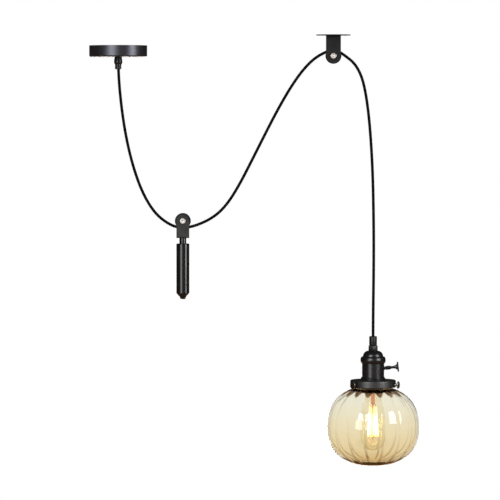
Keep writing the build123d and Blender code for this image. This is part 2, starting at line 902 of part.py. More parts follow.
# Frame of the tilted turn key: its axis crosses the lamp's axis at key_root
key_direction = (cos(radians(key_tilt)), 0, sin(radians(key_tilt)))
key_across = (-sin(radians(key_tilt)), 0, cos(radians(key_tilt)))
key_root = (lamp_x, 0, key_z - shell_r * tan(radians(key_tilt)))
key_plane = radial_plane(key_root, key_direction, key_across)
key_axis = Axis(key_root, key_direction)
guide_r = key_bush_dia / 2 - holder_wall
guide_hole_r = guide_r + hole_gap


def key_turn(points, mode=Mode.ADD):
    """Turn (radius, distance) points about the key's axis, inside the part that is open."""
    revolve(outline_face(points, key_plane), axis=key_axis, mode=mode)


# Lampholder shell with a lip turned in at its foot
with BuildPart() as socket_shell:
    shell_outline = [
        (shell_r, shell_top),
        (shell_r, shell_low),
        (shell_bore_r - shell_lip, shell_low),
        (shell_bore_r - shell_lip, shell_low + shell_wall),
        (shell_bore_r, shell_low + shell_wall),
        (shell_bore_r, shell_top),
    ]
    turn(shell_outline, lamp_x)
    key_turn(tube_outline(0, guide_hole_r, 0, carrier_r), Mode.SUBTRACT)
finish(socket_shell, "socket_shell")

# Insulating liner between the shell and the live parts
with BuildPart() as socket_liner:
    liner_r = shell_bore_r - core_gap
    turn(tube_outline(liner_r - liner_wall, liner_r, shell_low + shell_wall, core_low), lamp_x)
finish(socket_liner, "socket_liner")

# Moulded core that carries the switch, the terminals and the contacts
with BuildPart() as switch_core:
    turn(tube_outline(0, liner_r, core_low, shell_top), lamp_x)
    key_turn(tube_outline(0, key_shaft_dia / 2 + running_gap, key_shaft_inner, carrier_r), Mode.SUBTRACT)
    key_turn(tube_outline(0, guide_hole_r, liner_r - key_bush_depth, carrier_r), Mode.SUBTRACT)
finish(switch_core, "switch_core")

# Threaded guide of the key, screwed into the side of the shell
with BuildPart() as key_bush:
    guide_bore_r = key_shaft_dia / 2 + running_gap
    flange_start = (shell_r + key_bush_dia / 2 * sin(radians(key_tilt))) / cos(radians(key_tilt))
    flange_end = flange_start + key_bush_flange
    key_bush_outline = [
        (guide_bore_r, liner_r - key_bush_depth),
        (guide_r, liner_r - key_bush_depth),
        (guide_r, flange_start),
        (key_bush_dia / 2, flange_start),
        (key_bush_dia / 2, flange_end - key_bush_edge),
        (key_bush_dia / 2 - key_bush_edge, flange_end),
        (guide_bore_r, flange_end),
    ]
    key_turn(key_bush_outline)
finish(key_bush, "key_bush")

# Turn key: shaft, barrel, waist and a fan that grows into an oval bar
with BuildPart() as switch_key:
    shaft_r = key_shaft_dia / 2
    barrel_r = key_barrel_dia / 2
    barrel_start = flange_end + key_barrel_gap
    waist_r = key_neck_dia / 2
    fan_end = key_neck_end + key_fan_length
    key_outline = [
        (0, key_shaft_inner + body_gap),
        (shaft_r, key_shaft_inner + body_gap),
        (shaft_r, barrel_start),
        (barrel_r - key_barrel_edge, barrel_start),
        (barrel_r, barrel_start + key_barrel_edge),
        (barrel_r, key_barrel_end),
        (waist_r, key_barrel_end + barrel_r - waist_r),
        (waist_r, key_neck_end),
        (0, key_neck_end),
    ]
    key_turn(key_outline)
    bar_plane = Plane(origin=key_axis.position, x_dir=key_across, z_dir=key_direction)
    for share, growth in key_fan_growth:
        fan_tall = waist_r + growth * (key_bar_tall / 2 - waist_r)
        fan_deep = waist_r + growth * (key_bar_deep / 2 - waist_r)
        with BuildSketch(bar_plane.offset(key_neck_end + share * key_fan_length)):
            Ellipse(fan_tall, fan_deep)
    loft()
    with BuildSketch(bar_plane.offset(fan_end)):
        Ellipse(key_bar_tall / 2, key_bar_deep / 2)
    extrude(amount=key_bar_thick)
    key_end_edges = switch_key.faces().sort_by(key_axis)[-1].edges()
    fillet(key_end_edges, radius=key_bar_round)
finish(switch_key, "switch_key")

# Brass screw shell and centre contact that take the bulb
with BuildPart() as screw_shell:
    contact_r = contact_shell_dia / 2
    turn(
        tube_outline(contact_r - contact_shell_wall, contact_r, core_low - contact_shell_length, core_low),
        lamp_x,
    )
finish(screw_shell, "screw_shell")

with BuildPart() as centre_contact:
    contact_outline = [
        (-contact_width / 2, core_low),
        (-contact_width / 2, core_low - contact_thick),
        (-contact_width / 4, contact_low),
        (contact_width / 4, contact_low),
        (contact_width / 4, contact_low + contact_thick),
        (-contact_width / 8, contact_low + contact_thick),
        (-contact_width / 8, core_low),
    ]
    with BuildSketch(upright_plane(lamp_x)) as contact_section:
        with BuildLine():
            Polyline(*contact_outline, close=True)
        make_face()
    extrude(contact_section.sketch, amount=contact_width / 2, both=True)
finish(centre_contact, "centre_contact")

# Terminal posts on the core and the two cores of the cord that end on them
with BuildPart() as core_terminals:
    for side in (-1, 1):
        post_x = lamp_x + side * terminal_spread / 2
        turn(tube_outline(0, terminal_dia / 2, shell_top, shell_top + terminal_height), post_x)
finish(core_terminals, "core_terminals")

with BuildPart() as lamp_leads:
    post_top = shell_top + terminal_height
    bend_level = (lamp_sheath_low + post_top) / 2
    for side in (-1, 1):
        start_x = lamp_x + side * core_spread / 2
        post_x = lamp_x + side * terminal_spread / 2
        lamp_lead_points = [
            (start_x, 0, lamp_sheath_low),
            (start_x, 0, bend_level),
            (post_x, 0, bend_level),
            (post_x, 0, post_top),
        ]
        bend_room = (lamp_sheath_low - post_top) / 2
        with BuildLine() as lamp_lead_path:
            FilletPolyline(*lamp_lead_points, radius=min(core_bend, bend_room - running_gap))
        lead_start = Plane(origin=lamp_lead_path.line @ 0, z_dir=lamp_lead_path.line % 0)
        with BuildSketch(lead_start) as lamp_lead_section:
            Circle(core_dia / 2)
        sweep(lamp_lead_section.sketch, path=lamp_lead_path.line)
finish(lamp_leads, "lamp_leads")

# Flared collar above the shade carrier and ring nut below it, both threaded on the shell
with BuildPart() as shade_collar:
    collar_outline = [
        (shell_r + thread_gap, carrier_top),
        (collar_dia / 2, carrier_top),
        (collar_dia / 2, carrier_top + collar_land),
        (collar_top_dia / 2, collar_top),
        (shell_r + thread_gap, collar_top),
    ]
    turn(collar_outline, lamp_x)
finish(shade_collar, "shade_collar")

with BuildPart() as shade_ring_nut:
    ring_top = carrier_top - carrier_wall
    turn(
        tube_outline(shell_r + thread_gap, ring_nut_dia / 2, ring_top - ring_nut_height, ring_top),
        lamp_x,
    )
finish(shade_ring_nut, "shade_ring_nut")

# Shade carrier, a pressed cup that is open downwards, with three threaded bosses inside its skirt
thumb_places = ("left", "right", "back")
thumb_angles = [thumb_first + index * 360 / len(thumb_places) for index in range(len(thumb_places))]


def thumb_direction(angle):
    """Level unit direction at an angle from +X."""
    return (cos(radians(angle)), sin(radians(angle)), 0)


def thumb_turn(points, angle, mode=Mode.ADD):
    """Turn (radius, distance) points about one thumbscrew's axis, inside the part that is open."""
    direction = thumb_direction(angle)
    centre = (lamp_x, 0, thumb_z)
    plane = radial_plane(centre, direction, (0, 0, 1))
    revolve(outline_face(points, plane), axis=Axis(centre, direction), mode=mode)


with BuildPart() as shade_carrier:
    with BuildSketch(Plane(origin=(lamp_x, 0, carrier_low))):
        Circle(carrier_r)
    extrude(amount=carrier_height)
    fillet(shade_carrier.edges().group_by(Axis.Z)[-1], radius=carrier_edge)
    offset(amount=-carrier_wall, openings=shade_carrier.faces().sort_by(Axis.Z)[0])
    turn(tube_outline(0, shell_r + hole_gap, carrier_low, carrier_top), lamp_x, Mode.SUBTRACT)
    for angle in thumb_angles:
        thumb_turn(tube_outline(0, thumb_dia / 2 + running_gap, 0, carrier_dia), angle, Mode.SUBTRACT)
finish(shade_carrier, "shade_carrier")

with BuildPart() as carrier_bosses:
    for angle in thumb_angles:
        boss_start = carrier_bore_r - boss_length
        thumb_turn(tube_outline(thumb_dia / 2 + running_gap, boss_dia / 2, boss_start, carrier_r), angle)
    turn(tube_outline(0, carrier_bore_r, carrier_low, carrier_top), lamp_x, Mode.INTERSECT)
finish(carrier_bosses, "carrier_bosses")

# Thumbscrews with a waist and a knurled, flared head
for angle, place in zip(thumb_angles, thumb_places):
    head_start = carrier_r + thumb_waist_length
    head_end = head_start + thumb_head_thick
    thumb_r = thumb_dia / 2
    thumb_outline = [
        (0, neck_r + body_gap),
        (thumb_r - thumb_point, neck_r + body_gap),
        (thumb_r, neck_r + body_gap + thumb_point),
        (thumb_r, carrier_r + body_gap),
        (thumb_waist_dia / 2, carrier_r + body_gap),
        (thumb_waist_dia / 2, head_start - thumb_flare_length),
        (thumb_head_dia / 2 - thumb_head_edge, head_start),
        (thumb_head_dia / 2, head_start + thumb_head_edge),
        (thumb_head_dia / 2, head_end - thumb_head_edge),
        (thumb_head_dia / 2 - thumb_head_edge, head_end),
        (0, head_end),
    ]
    with BuildPart() as thumbscrew:
        thumb_turn(thumb_outline, angle)
        head_plane = Plane(
            origin=(
                lamp_x + head_start * cos(radians(angle)),
                head_start * sin(radians(angle)),
                thumb_z,
            ),
            x_dir=(0, 0, 1),
            z_dir=thumb_direction(angle),
        )
        with BuildSketch(head_plane) as knurls:
            with PolarLocations(thumb_head_dia / 2 + thumb_knurl_depth, thumb_knurls):
                Circle(2 * thumb_knurl_depth)
        extrude(knurls.sketch, amount=thumb_head_thick, both=True, mode=Mode.SUBTRACT)
    finish(thumbscrew, f"thumbscrew_{place}")


# Fluted glass shade: lobed sections stacked on a rounded-square curve, under a plain neck with a lip
def shade_ring(angle, shrink):
    """Crest radius and height of the shade's outline at an angle from its widest level."""
    power = 2 / shade_power
    upper = shade_upper if angle > 0 else shade_lower
    radius = (shade_dia / 2 - shrink) * cos(radians(angle)) ** power
    rise = (upper - shrink) * sin(radians(abs(angle))) ** power
    return radius, shade_middle + (rise if angle > 0 else -rise)


def lobed_face(angle, shrink):
    """Level section of the shade with one arc for each lobe."""
    crest, height = shade_ring(angle, shrink)
    fade = max(lobe_fade_least, min(1.0, (shade_neck_angle - angle) / lobe_fade_span))
    valley = crest * (1 - lobe_depth * fade)
    half = 180 / lobe_count
    with BuildSketch(Plane(origin=(lamp_x, 0, height))) as section:
        with BuildLine():
            for lobe in range(lobe_count):
                middle = lobe * 2 * half + lobe_first
                ThreePointArc(
                    (valley * cos(radians(middle - half)), valley * sin(radians(middle - half))),
                    (crest * cos(radians(middle)), crest * sin(radians(middle))),
                    (valley * cos(radians(middle + half)), valley * sin(radians(middle + half))),
                )
        make_face()
    return section.sketch


lip_top = thumb_z + thumb_dia / 2 + body_gap + shade_lip_height
with BuildPart() as glass_shade:
    loft([lobed_face(angle, 0) for angle in shade_angles])
    turn(tube_outline(0, neck_r, shade_ring(shade_neck_angle, 0)[1], lip_top), lamp_x)
    turn(tube_outline(0, lip_r, lip_top - shade_lip_height, lip_top), lamp_x)
    loft([lobed_face(angle, shade_wall) for angle in shade_angles], mode=Mode.SUBTRACT)
    turn(tube_outline(0, shade_bore_r, shade_middle, lip_top), lamp_x, Mode.SUBTRACT)
finish(glass_shade, "glass_shade")

# Bulb: contact, insulator, screw base, glass, stem, filament and its support wires
base_r = bulb_base_dia / 2
with BuildPart() as bulb_contact:
    contact_end = bulb_top - bulb_contact_height
    turn(tube_outline(0, bulb_contact_dia / 2, contact_end, bulb_top), lamp_x)
    fillet(bulb_contact.edges().group_by(Axis.Z)[-1], radius=bulb_contact_height / 2)
finish(bulb_contact, "bulb_contact")

with BuildPart() as bulb_insulator:
    root_r = base_r - bulb_thread_depth
    turn(
        [
            (0, bulb_base_top),
            (root_r, bulb_base_top),
            (bulb_contact_dia / 2, contact_end),
            (0, contact_end),
        ],
        lamp_x,
    )
finish(bulb_insulator, "bulb_insulator")

with BuildPart() as bulb_base:
    thread_points = []
    thread_rings = int((bulb_base_length - bulb_thread_pitch) / bulb_thread_pitch)
    for ring in range(thread_rings):
        thread_top = bulb_base_top - ring * bulb_thread_pitch
        thread_points.append((root_r, thread_top))
        thread_points.append((base_r, thread_top - bulb_thread_pitch / 2))
    thread_points.append((root_r, bulb_base_top - thread_rings * bulb_thread_pitch))
    base_bore_r = root_r - bulb_base_wall
    base_foot = [(root_r, bulb_base_low), (base_bore_r, bulb_base_low), (base_bore_r, bulb_base_top)]
    turn(thread_points + base_foot, lamp_x)
finish(bulb_base, "bulb_base")

glass_r = bulb_glass_dia / 2
glass_neck_r = bulb_neck_dia / 2
shoulder_z = bulb_base_low - bulb_shoulder_drop
round_z = bulb_low + glass_r
with BuildPart() as bulb_glass:
    for wall, mode in ((0, Mode.ADD), (bulb_wall, Mode.SUBTRACT)):
        with BuildSketch(upright_plane(lamp_x)) as glass_section:
            with BuildLine():
                neck_point = (glass_neck_r - wall, bulb_base_low)
                shoulder_point = (glass_r - wall, shoulder_z)
                Line((0, bulb_base_low), neck_point)
                Spline(neck_point, shoulder_point, tangents=((bulb_neck_slope, -1), (0, -1)))
                Line(shoulder_point, (glass_r - wall, round_z))
                RadiusArc((glass_r - wall, round_z), (0, bulb_low + wall), glass_r - wall)
                Line((0, bulb_low + wall), (0, bulb_base_low))
            make_face()
        revolve(glass_section.sketch, axis=upright_axis(lamp_x), mode=mode)
finish(bulb_glass, "bulb_glass")

flare_r = stem_flare_dia / 2
stem_tube_low = bulb_base_low - stem_tube_length
stem_low = stem_tube_low - stem_rod_length
with BuildPart() as bulb_stem:
    stem_outline = [
        (0, bulb_base_low),
        (flare_r, bulb_base_low),
        (flare_r, bulb_base_low - stem_flare_edge),
        (stem_tube_dia / 2, bulb_base_low - stem_flare_drop),
        (stem_tube_dia / 2, stem_tube_low),
        (stem_rod_dia / 2, stem_tube_low - stem_taper),
        (stem_rod_dia / 2, stem_low),
        (0, stem_low),
    ]
    turn(stem_outline, lamp_x)
finish(bulb_stem, "bulb_stem")

# Cage filament: one wire in hairpins between an upper and a lower ring of hooks
filament_top = stem_tube_low - filament_end_gap
filament_low = stem_low + filament_end_gap


def cage_point(angle, low):
    """Point of the filament's cage at an angle, on its lower or its upper ring."""
    radius = filament_low_radius if low else filament_top_radius
    height = filament_low if low else filament_top
    return (lamp_x + radius * cos(radians(angle)), radius * sin(radians(angle)), height)


with BuildPart() as bulb_filament:
    leg_step = 360 / filament_legs
    cage_points = []
    for leg in range(filament_legs):
        first_low = leg % 2 == 1
        cage_points.append(cage_point(leg * leg_step, first_low))
        cage_points.append(cage_point(leg * leg_step, not first_low))
    with BuildLine() as filament_path:
        FilletPolyline(*cage_points, radius=filament_bend)
    filament_start = Plane(origin=filament_path.line @ 0, z_dir=filament_path.line % 0)
    with BuildSketch(filament_start) as filament_section:
        Circle(filament_dia / 2)
    sweep(filament_section.sketch, path=filament_path.line)
finish(bulb_filament, "bulb_filament")

# Hook wires from the stem to each hairpin, and two lead wires to the ends of the filament
with BuildPart() as bulb_supports:
    for leg in range(filament_legs - 1):
        low = leg % 2 == 0
        near = Vector(*cage_point(leg * leg_step, low))
        far = Vector(*cage_point((leg + 1) * leg_step, low))
        hook = (near + far) / 2
        root = Vector(lamp_x, 0, hook.Z)
        outward = (hook - root).normalized()
        start = root + outward * (stem_rod_dia / 2)
        with BuildSketch(Plane(origin=start, z_dir=outward)) as wire_section:
            Circle(support_dia / 2)
        extrude(wire_section.sketch, amount=(hook - start).length - filament_dia / 2)
    for leg in (0, filament_legs - 1):
        end = Vector(*cage_point(leg * leg_step, False))
        level = Vector(end.X - lamp_x, end.Y, 0).normalized()
        start = Vector(lamp_x, 0, stem_tube_low - support_dia / 2) + level * (stem_tube_dia / 2)
        lead_line = end - start
        with BuildSketch(Plane(origin=start, z_dir=lead_line.normalized())) as lead_wire_section:
            Circle(support_dia / 2)
        extrude(lead_wire_section.sketch, amount=lead_line.length - filament_dia / 2)
finish(bulb_supports, "bulb_supports")


# The cord, in three free stretches that meet end to end
def turn_angles(points):
    """Turn at each inner point of a route, in degrees."""
    runs = [Vector(*b) - Vector(*a) for a, b in zip(points, points[1:])]
    return [a.get_angle(b) for a, b in zip(runs, runs[1:])]


def cord_radii(points):
    """Largest arcs that the runs allow, but the wheel's own radius where the cord bends round it."""
    lengths = [(Vector(*b) - Vector(*a)).length for a, b in zip(points, points[1:])]
    radii = []
    for before, after, angle in zip(lengths, lengths[1:], turn_angles(points)):
        widest = arc_share * min(before, after) / tan(radians(angle / 2))
        radii.append(pitch_radius if widest < wheel_arc_limit else widest)
    return radii


def cord_stretch(label, route):
    """Make one stretch of cord along its route of (X, Z) points and compare its volume."""
    points = [(x, 0, z) for x, z in route]
    radii = cord_radii(points)
    with BuildPart() as stretch:
        with BuildLine() as path:
            FilletPolyline(*points, radius=radii)
        with BuildSketch(Plane(origin=path.line @ 0, z_dir=path.line % 0)) as section:
            Circle(cord_r)
        sweep(section.sketch, path=path.line)
    length = sum(edge.length for edge in path.edges())
    volume_share = stretch.part.volume / (pi * cord_r**2 * length)
    print(label, "length", round(length, 1), "radii", [round(radius) for radius in radii])
    print(label, "volume over section times length", round(volume_share, 4))
    finish(stretch, label)


cord_stretch("cord_canopy_run", [(0.0, sheath_top)] + canopy_route)
cord_stretch("cord_middle_run", middle_route)
cord_stretch("cord_lamp_run", lamp_route + [(lamp_x, lamp_sheath_low)])
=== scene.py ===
"""Dress the counterweight pendant lamp: canopy, looped cord, two pulleys, weight, lampholder and glass shade.

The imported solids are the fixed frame. Each sub-assembly class holds its sizes in millimetres, models the
pieces that show about their own axes and seats them where their solids are. Pieces keep their place in
their mesh, so every finish reads Object coordinates, or the UV map along a cord.
"""

import json
import logging
import math
from collections.abc import Sequence
from dataclasses import dataclass, field
from enum import Enum

import bpy
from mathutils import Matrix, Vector


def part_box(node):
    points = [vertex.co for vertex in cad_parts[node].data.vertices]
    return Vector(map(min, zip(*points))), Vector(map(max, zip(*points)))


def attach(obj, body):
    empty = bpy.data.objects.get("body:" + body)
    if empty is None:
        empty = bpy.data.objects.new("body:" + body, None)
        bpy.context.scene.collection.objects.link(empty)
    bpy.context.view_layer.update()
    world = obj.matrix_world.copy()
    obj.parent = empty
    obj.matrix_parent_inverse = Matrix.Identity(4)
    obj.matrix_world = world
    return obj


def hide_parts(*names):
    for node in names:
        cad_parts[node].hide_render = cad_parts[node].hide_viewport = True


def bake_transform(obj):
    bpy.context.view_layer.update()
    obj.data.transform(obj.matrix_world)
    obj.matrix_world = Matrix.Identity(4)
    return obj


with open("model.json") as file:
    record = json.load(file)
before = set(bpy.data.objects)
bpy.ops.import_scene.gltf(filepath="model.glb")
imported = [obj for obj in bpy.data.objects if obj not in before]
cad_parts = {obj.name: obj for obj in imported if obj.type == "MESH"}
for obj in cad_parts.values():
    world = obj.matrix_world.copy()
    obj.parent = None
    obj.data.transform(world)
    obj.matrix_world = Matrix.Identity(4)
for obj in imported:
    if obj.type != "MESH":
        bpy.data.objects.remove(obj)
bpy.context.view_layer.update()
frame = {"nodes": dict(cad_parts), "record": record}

MM = 0.001
POLE_RADIUS = 0.005
MERGE_GAP = 0.02
COPY_MERGE_GAP = 0.004
COPY_FLAT_ANGLE = 0.5
SMOOTH_ANGLE = 32.0
CUT_OVER = 1.0
THREAD_GAP = 0.05
CORD_UV_UNIT = 100.0
GLASS_INDEX = 1.45
GLASS_SHEEN = (0.0, 0.02)
WHITE = (1.0, 1.0, 1.0)

Piece = bpy.types.Object
Socket = bpy.types.NodeSocket
Ring = tuple[float, float]
Place = tuple[float, float, float]
Colour = tuple[float, float, float]

log = logging.getLogger("pendant_lamp")


class Slot(Enum):
    """Material slots of the record, each with its usual finish."""

    ZINC = "zinc_steel"
    BRIGHT = "bright_steel"
    BLACK = "black_enamel"
    GREY = "grey_enamel"
    PLASTIC = "black_plastic"
    RUBBER = "rubber_bush"
    WHITE = "white_plastic"
    CORE = "moulded_core"
    FIBRE = "fibre_liner"
    BRASS = "brass"
    LEAD = "core_insulation"
    SLEEVE = "cord_sleeve"
    AMBER = "amber_glass"
    CLEAR = "bulb_clear_glass"
    WIRE = "filament_wire"


class Body(Enum):
    """Bodies of the record that pieces ride on."""

    CEILING = "ceiling"
    CEILING_PULLEY = "ceiling_pulley"
    WEIGHT = "counterweight"
    WEIGHT_PULLEY = "weight_pulley"
    LAMP = "lamp"
    KEY = "key"
    THUMB_LEFT = "thumb_left"
    THUMB_RIGHT = "thumb_right"
    THUMB_BACK = "thumb_back"
    BULB = "bulb"


class Axis(Enum):
    """Directions that a turned piece's axis takes."""

    UP = (0.0, 0.0, 1.0)
    FRONT = (0.0, -1.0, 0.0)


class Along(Enum):
    """Directions that a solid's reach is taken along."""

    SIDE = 0
    DEPTH = 1
    HEIGHT = 2


class Cut(Enum):
    """Ways that a cutter changes a piece."""

    TAKE_AWAY = "DIFFERENCE"
    KEEP_INSIDE = "INTERSECT"
    JOIN = "UNION"


class Fade(Enum):
    """Ways that a value goes from one end of its range to the other."""

    EVEN = "LINEAR"
    SOFT = "SMOOTHSTEP"


def clear_selection() -> None:
    """Leave nothing selected, so that the next operator acts on its own piece alone."""
    bpy.ops.object.select_all(action="DESELECT")


def take(piece: Piece) -> None:
    """Make a piece the only selected and active object.

    Args:
        piece: Piece that the next operator acts on.
    """
    clear_selection()
    piece.select_set(True)
    bpy.context.view_layer.objects.active = piece


def arc(centre: Ring, radius: float, start: float, end: float, count: int) -> list[Ring]:
    """Give outline points along an arc.

    Args:
        centre: Radius and height of the arc's centre.
        radius: Radius of the arc.
        start: First angle in degrees, 0 outward and 90 up.
        end: Last angle in degrees.
        count: Number of points, both ends among them.

    Returns:
        The points as (radius, height) pairs.
    """
    angles = [math.radians(start + (end - start) * step / (count - 1)) for step in range(count)]
    return [(centre[0] + radius * math.cos(a), centre[1] + radius * math.sin(a)) for a in angles]


def bow(start: Ring, end: Ring, bulge: float, count: int) -> list[Ring]:
    """Give outline points along a shallow curve that stands out from its chord.

    Args:
        start: First point.
        end: Last point.
        bulge: Height of the curve over the chord's middle, outward when positive.
        count: Number of points, both ends among them.

    Returns:
        The points as (radius, height) pairs.
    """
    points = []
    for step in range(count):
        share = step / (count - 1)
        radius = start[0] + (end[0] - start[0]) * share + 4 * bulge * share * (1 - share)
        points.append((radius, start[1] + (end[1] - start[1]) * share))
    return points


def beside(corner: Ring, steps: Sequence[Ring]) -> list[Ring]:
    """Give outline points by their steps outward and upward from one corner."""
    return [(corner[0] + outward, corner[1] + upward) for outward, upward in steps]


def turned(name: str, rings: Sequence[Ring], steps: int) -> Piece:
    """Turn an outline about the upright axis through the origin, ring by ring.

    Args:
        name: Name of the new piece.
        rings: Outline as (radius, height) pairs, closed when the last repeats the first.
        steps: Number of points round each ring.

    Returns:
        The turned piece.
    """
    clear_selection()
    safe = [(max(radius, POLE_RADIUS), height) for radius, height in rings]
    radius, height = safe[0]
    bpy.ops.mesh.primitive_circle_add(vertices=steps, radius=radius * MM, location=(0, 0, height * MM))
    piece = bpy.context.object
    piece.name = name
    bpy.ops.object.mode_set(mode="EDIT")
    for next_radius, next_height in safe[1:]:
        rise = (0, 0, (next_height - height) * MM)
        bpy.ops.mesh.extrude_edges_move(TRANSFORM_OT_translate={"value": rise})
        grow = next_radius / radius
        bpy.ops.transform.resize(value=(grow, grow, 1), center_override=(0, 0, next_height * MM))
        radius, height = next_radius, next_height
    bpy.ops.mesh.select_all(action="SELECT")
    bpy.ops.mesh.remove_doubles(threshold=MERGE_GAP * MM)
    bpy.ops.mesh.normals_make_consistent(inside=False)
    bpy.ops.object.mode_set(mode="OBJECT")
    bpy.ops.object.transform_apply(location=True, rotation=True, scale=True)
    return piece


def seat(piece: Piece, place: Place, direction: Sequence[float] = Axis.UP.value) -> None:
    """Put a piece in its place in the frame, with the place in its mesh.

    Args:
        piece: Piece modelled about the upright axis through the origin.
        place: Where its origin goes, in millimetres.
        direction: Where its upright axis points.
    """
    take(piece)
    piece.rotation_euler = Vector(Axis.UP.value).rotation_difference(Vector(direction)).to_euler()
    piece.location = Vector(place) * MM
    bpy.ops.object.transform_apply(location=True, rotation=True, scale=True)


def apply_modifier(piece: Piece, modifier: bpy.types.Modifier) -> None:
    """Apply one modifier to its piece."""
    take(piece)
    bpy.ops.object.modifier_apply(modifier=modifier.name)


@dataclass(frozen=True)
class Rounding:
    """Rounding of sharp edges: its width, the faces across it and the least angle of an edge that gets it."""

    width: float
    segments: int = 2
    limit: float = 40.0

    def apply(self, piece: Piece) -> None:
        """Round the sharp edges of a piece.

        Args:
            piece: Piece to finish.
        """
        bevel = piece.modifiers.new("rounding", "BEVEL")
        bevel.width = self.width * MM
        bevel.segments = self.segments
        bevel.limit_method = "ANGLE"
        bevel.angle_limit = math.radians(self.limit)
        apply_modifier(piece, bevel)


def smooth(piece: Piece, angle: float = SMOOTH_ANGLE, flats: bool = False) -> None:
    """Shade a piece smooth.

    Args:
        piece: Piece to finish.
        angle: Least angle in degrees of an edge that stays sharp.
        flats: Whether large faces keep their own normal, so that only the rounding beside them bends.
    """
    take(piece)
    bpy.ops.object.shade_smooth_by_angle(angle=math.radians(angle), keep_sharp_edges=False)
    if flats:
        weighted = piece.modifiers.new("flat_faces", "WEIGHTED_NORMAL")
        weighted.keep_sharp = True
        apply_modifier(piece, weighted)


def carve(piece: Piece, cutter: Piece, cut: Cut = Cut.TAKE_AWAY) -> None:
    """Cut a piece with another, which is used up.

    Args:
        piece: Piece that is cut.
        cutter: Closed piece that cuts it.
        cut: How the cutter changes the piece.
    """
    boolean = piece.modifiers.new("cut", "BOOLEAN")
    boolean.operation = cut.value
    boolean.solver = "EXACT"
    boolean.object = cutter
    apply_modifier(piece, boolean)
    bpy.data.objects.remove(cutter)


def drill(piece: Piece, radius: float, ends: Ring, place: Place,
          direction: Sequence[float] = Axis.UP.value, steps: int = 40) -> None:
    """Bore a round hole in a piece.

    Args:
        piece: Piece that is bored.
        radius: Radius of the hole.
        ends: Where the drill starts and ends along its axis.
        place: Where the zero of the drill's axis stands.
        direction: Where the drill points.
        steps: Number of points round the hole.
    """
    start, end = ends
    cutter = turned("drill", [(0, start), (radius, start), (radius, end), (0, end)], steps)
    seat(cutter, place, direction)
    carve(piece, cutter)


def softened(node: str, width: float) -> Piece:
    """Copy a solid's mesh as a piece with merged points and rounded edges.

    Args:
        node: Name of the solid.
        width: Width of the rounding in millimetres, or 0 for none.

    Returns:
        The new piece, which stands where the solid is.
    """
    piece = bpy.data.objects.new(f"{node}_dressed", frame["nodes"][node].data.copy())
    bpy.context.scene.collection.objects.link(piece)
    take(piece)
    bpy.ops.mesh.customdata_custom_splitnormals_clear()
    bpy.ops.object.mode_set(mode="EDIT")
    bpy.ops.mesh.select_all(action="SELECT")
    bpy.ops.mesh.remove_doubles(threshold=COPY_MERGE_GAP * MM)
    bpy.ops.mesh.dissolve_limited(angle_limit=math.radians(COPY_FLAT_ANGLE))
    bpy.ops.object.mode_set(mode="OBJECT")
    if width:
        Rounding(width).apply(piece)
    smooth(piece, flats=bool(width))
    return piece


def centre_of(node: str) -> Place:
    """Give the middle of a solid's box, in millimetres."""
    low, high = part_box(node)
    return tuple((a + b) / 2 / MM for a, b in zip(low, high))


def axis_of(node: str) -> Place:
    """Give the place at height 0 on the upright axis through a solid's middle."""
    x, y, _ = centre_of(node)
    return x, y, 0


def reach_of(node: str, along: Along = Along.HEIGHT) -> Ring:
    """Give the least and the largest reach of a solid along one direction, in millimetres."""
    low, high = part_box(node)
    return low[along.value] / MM, high[along.value] / MM


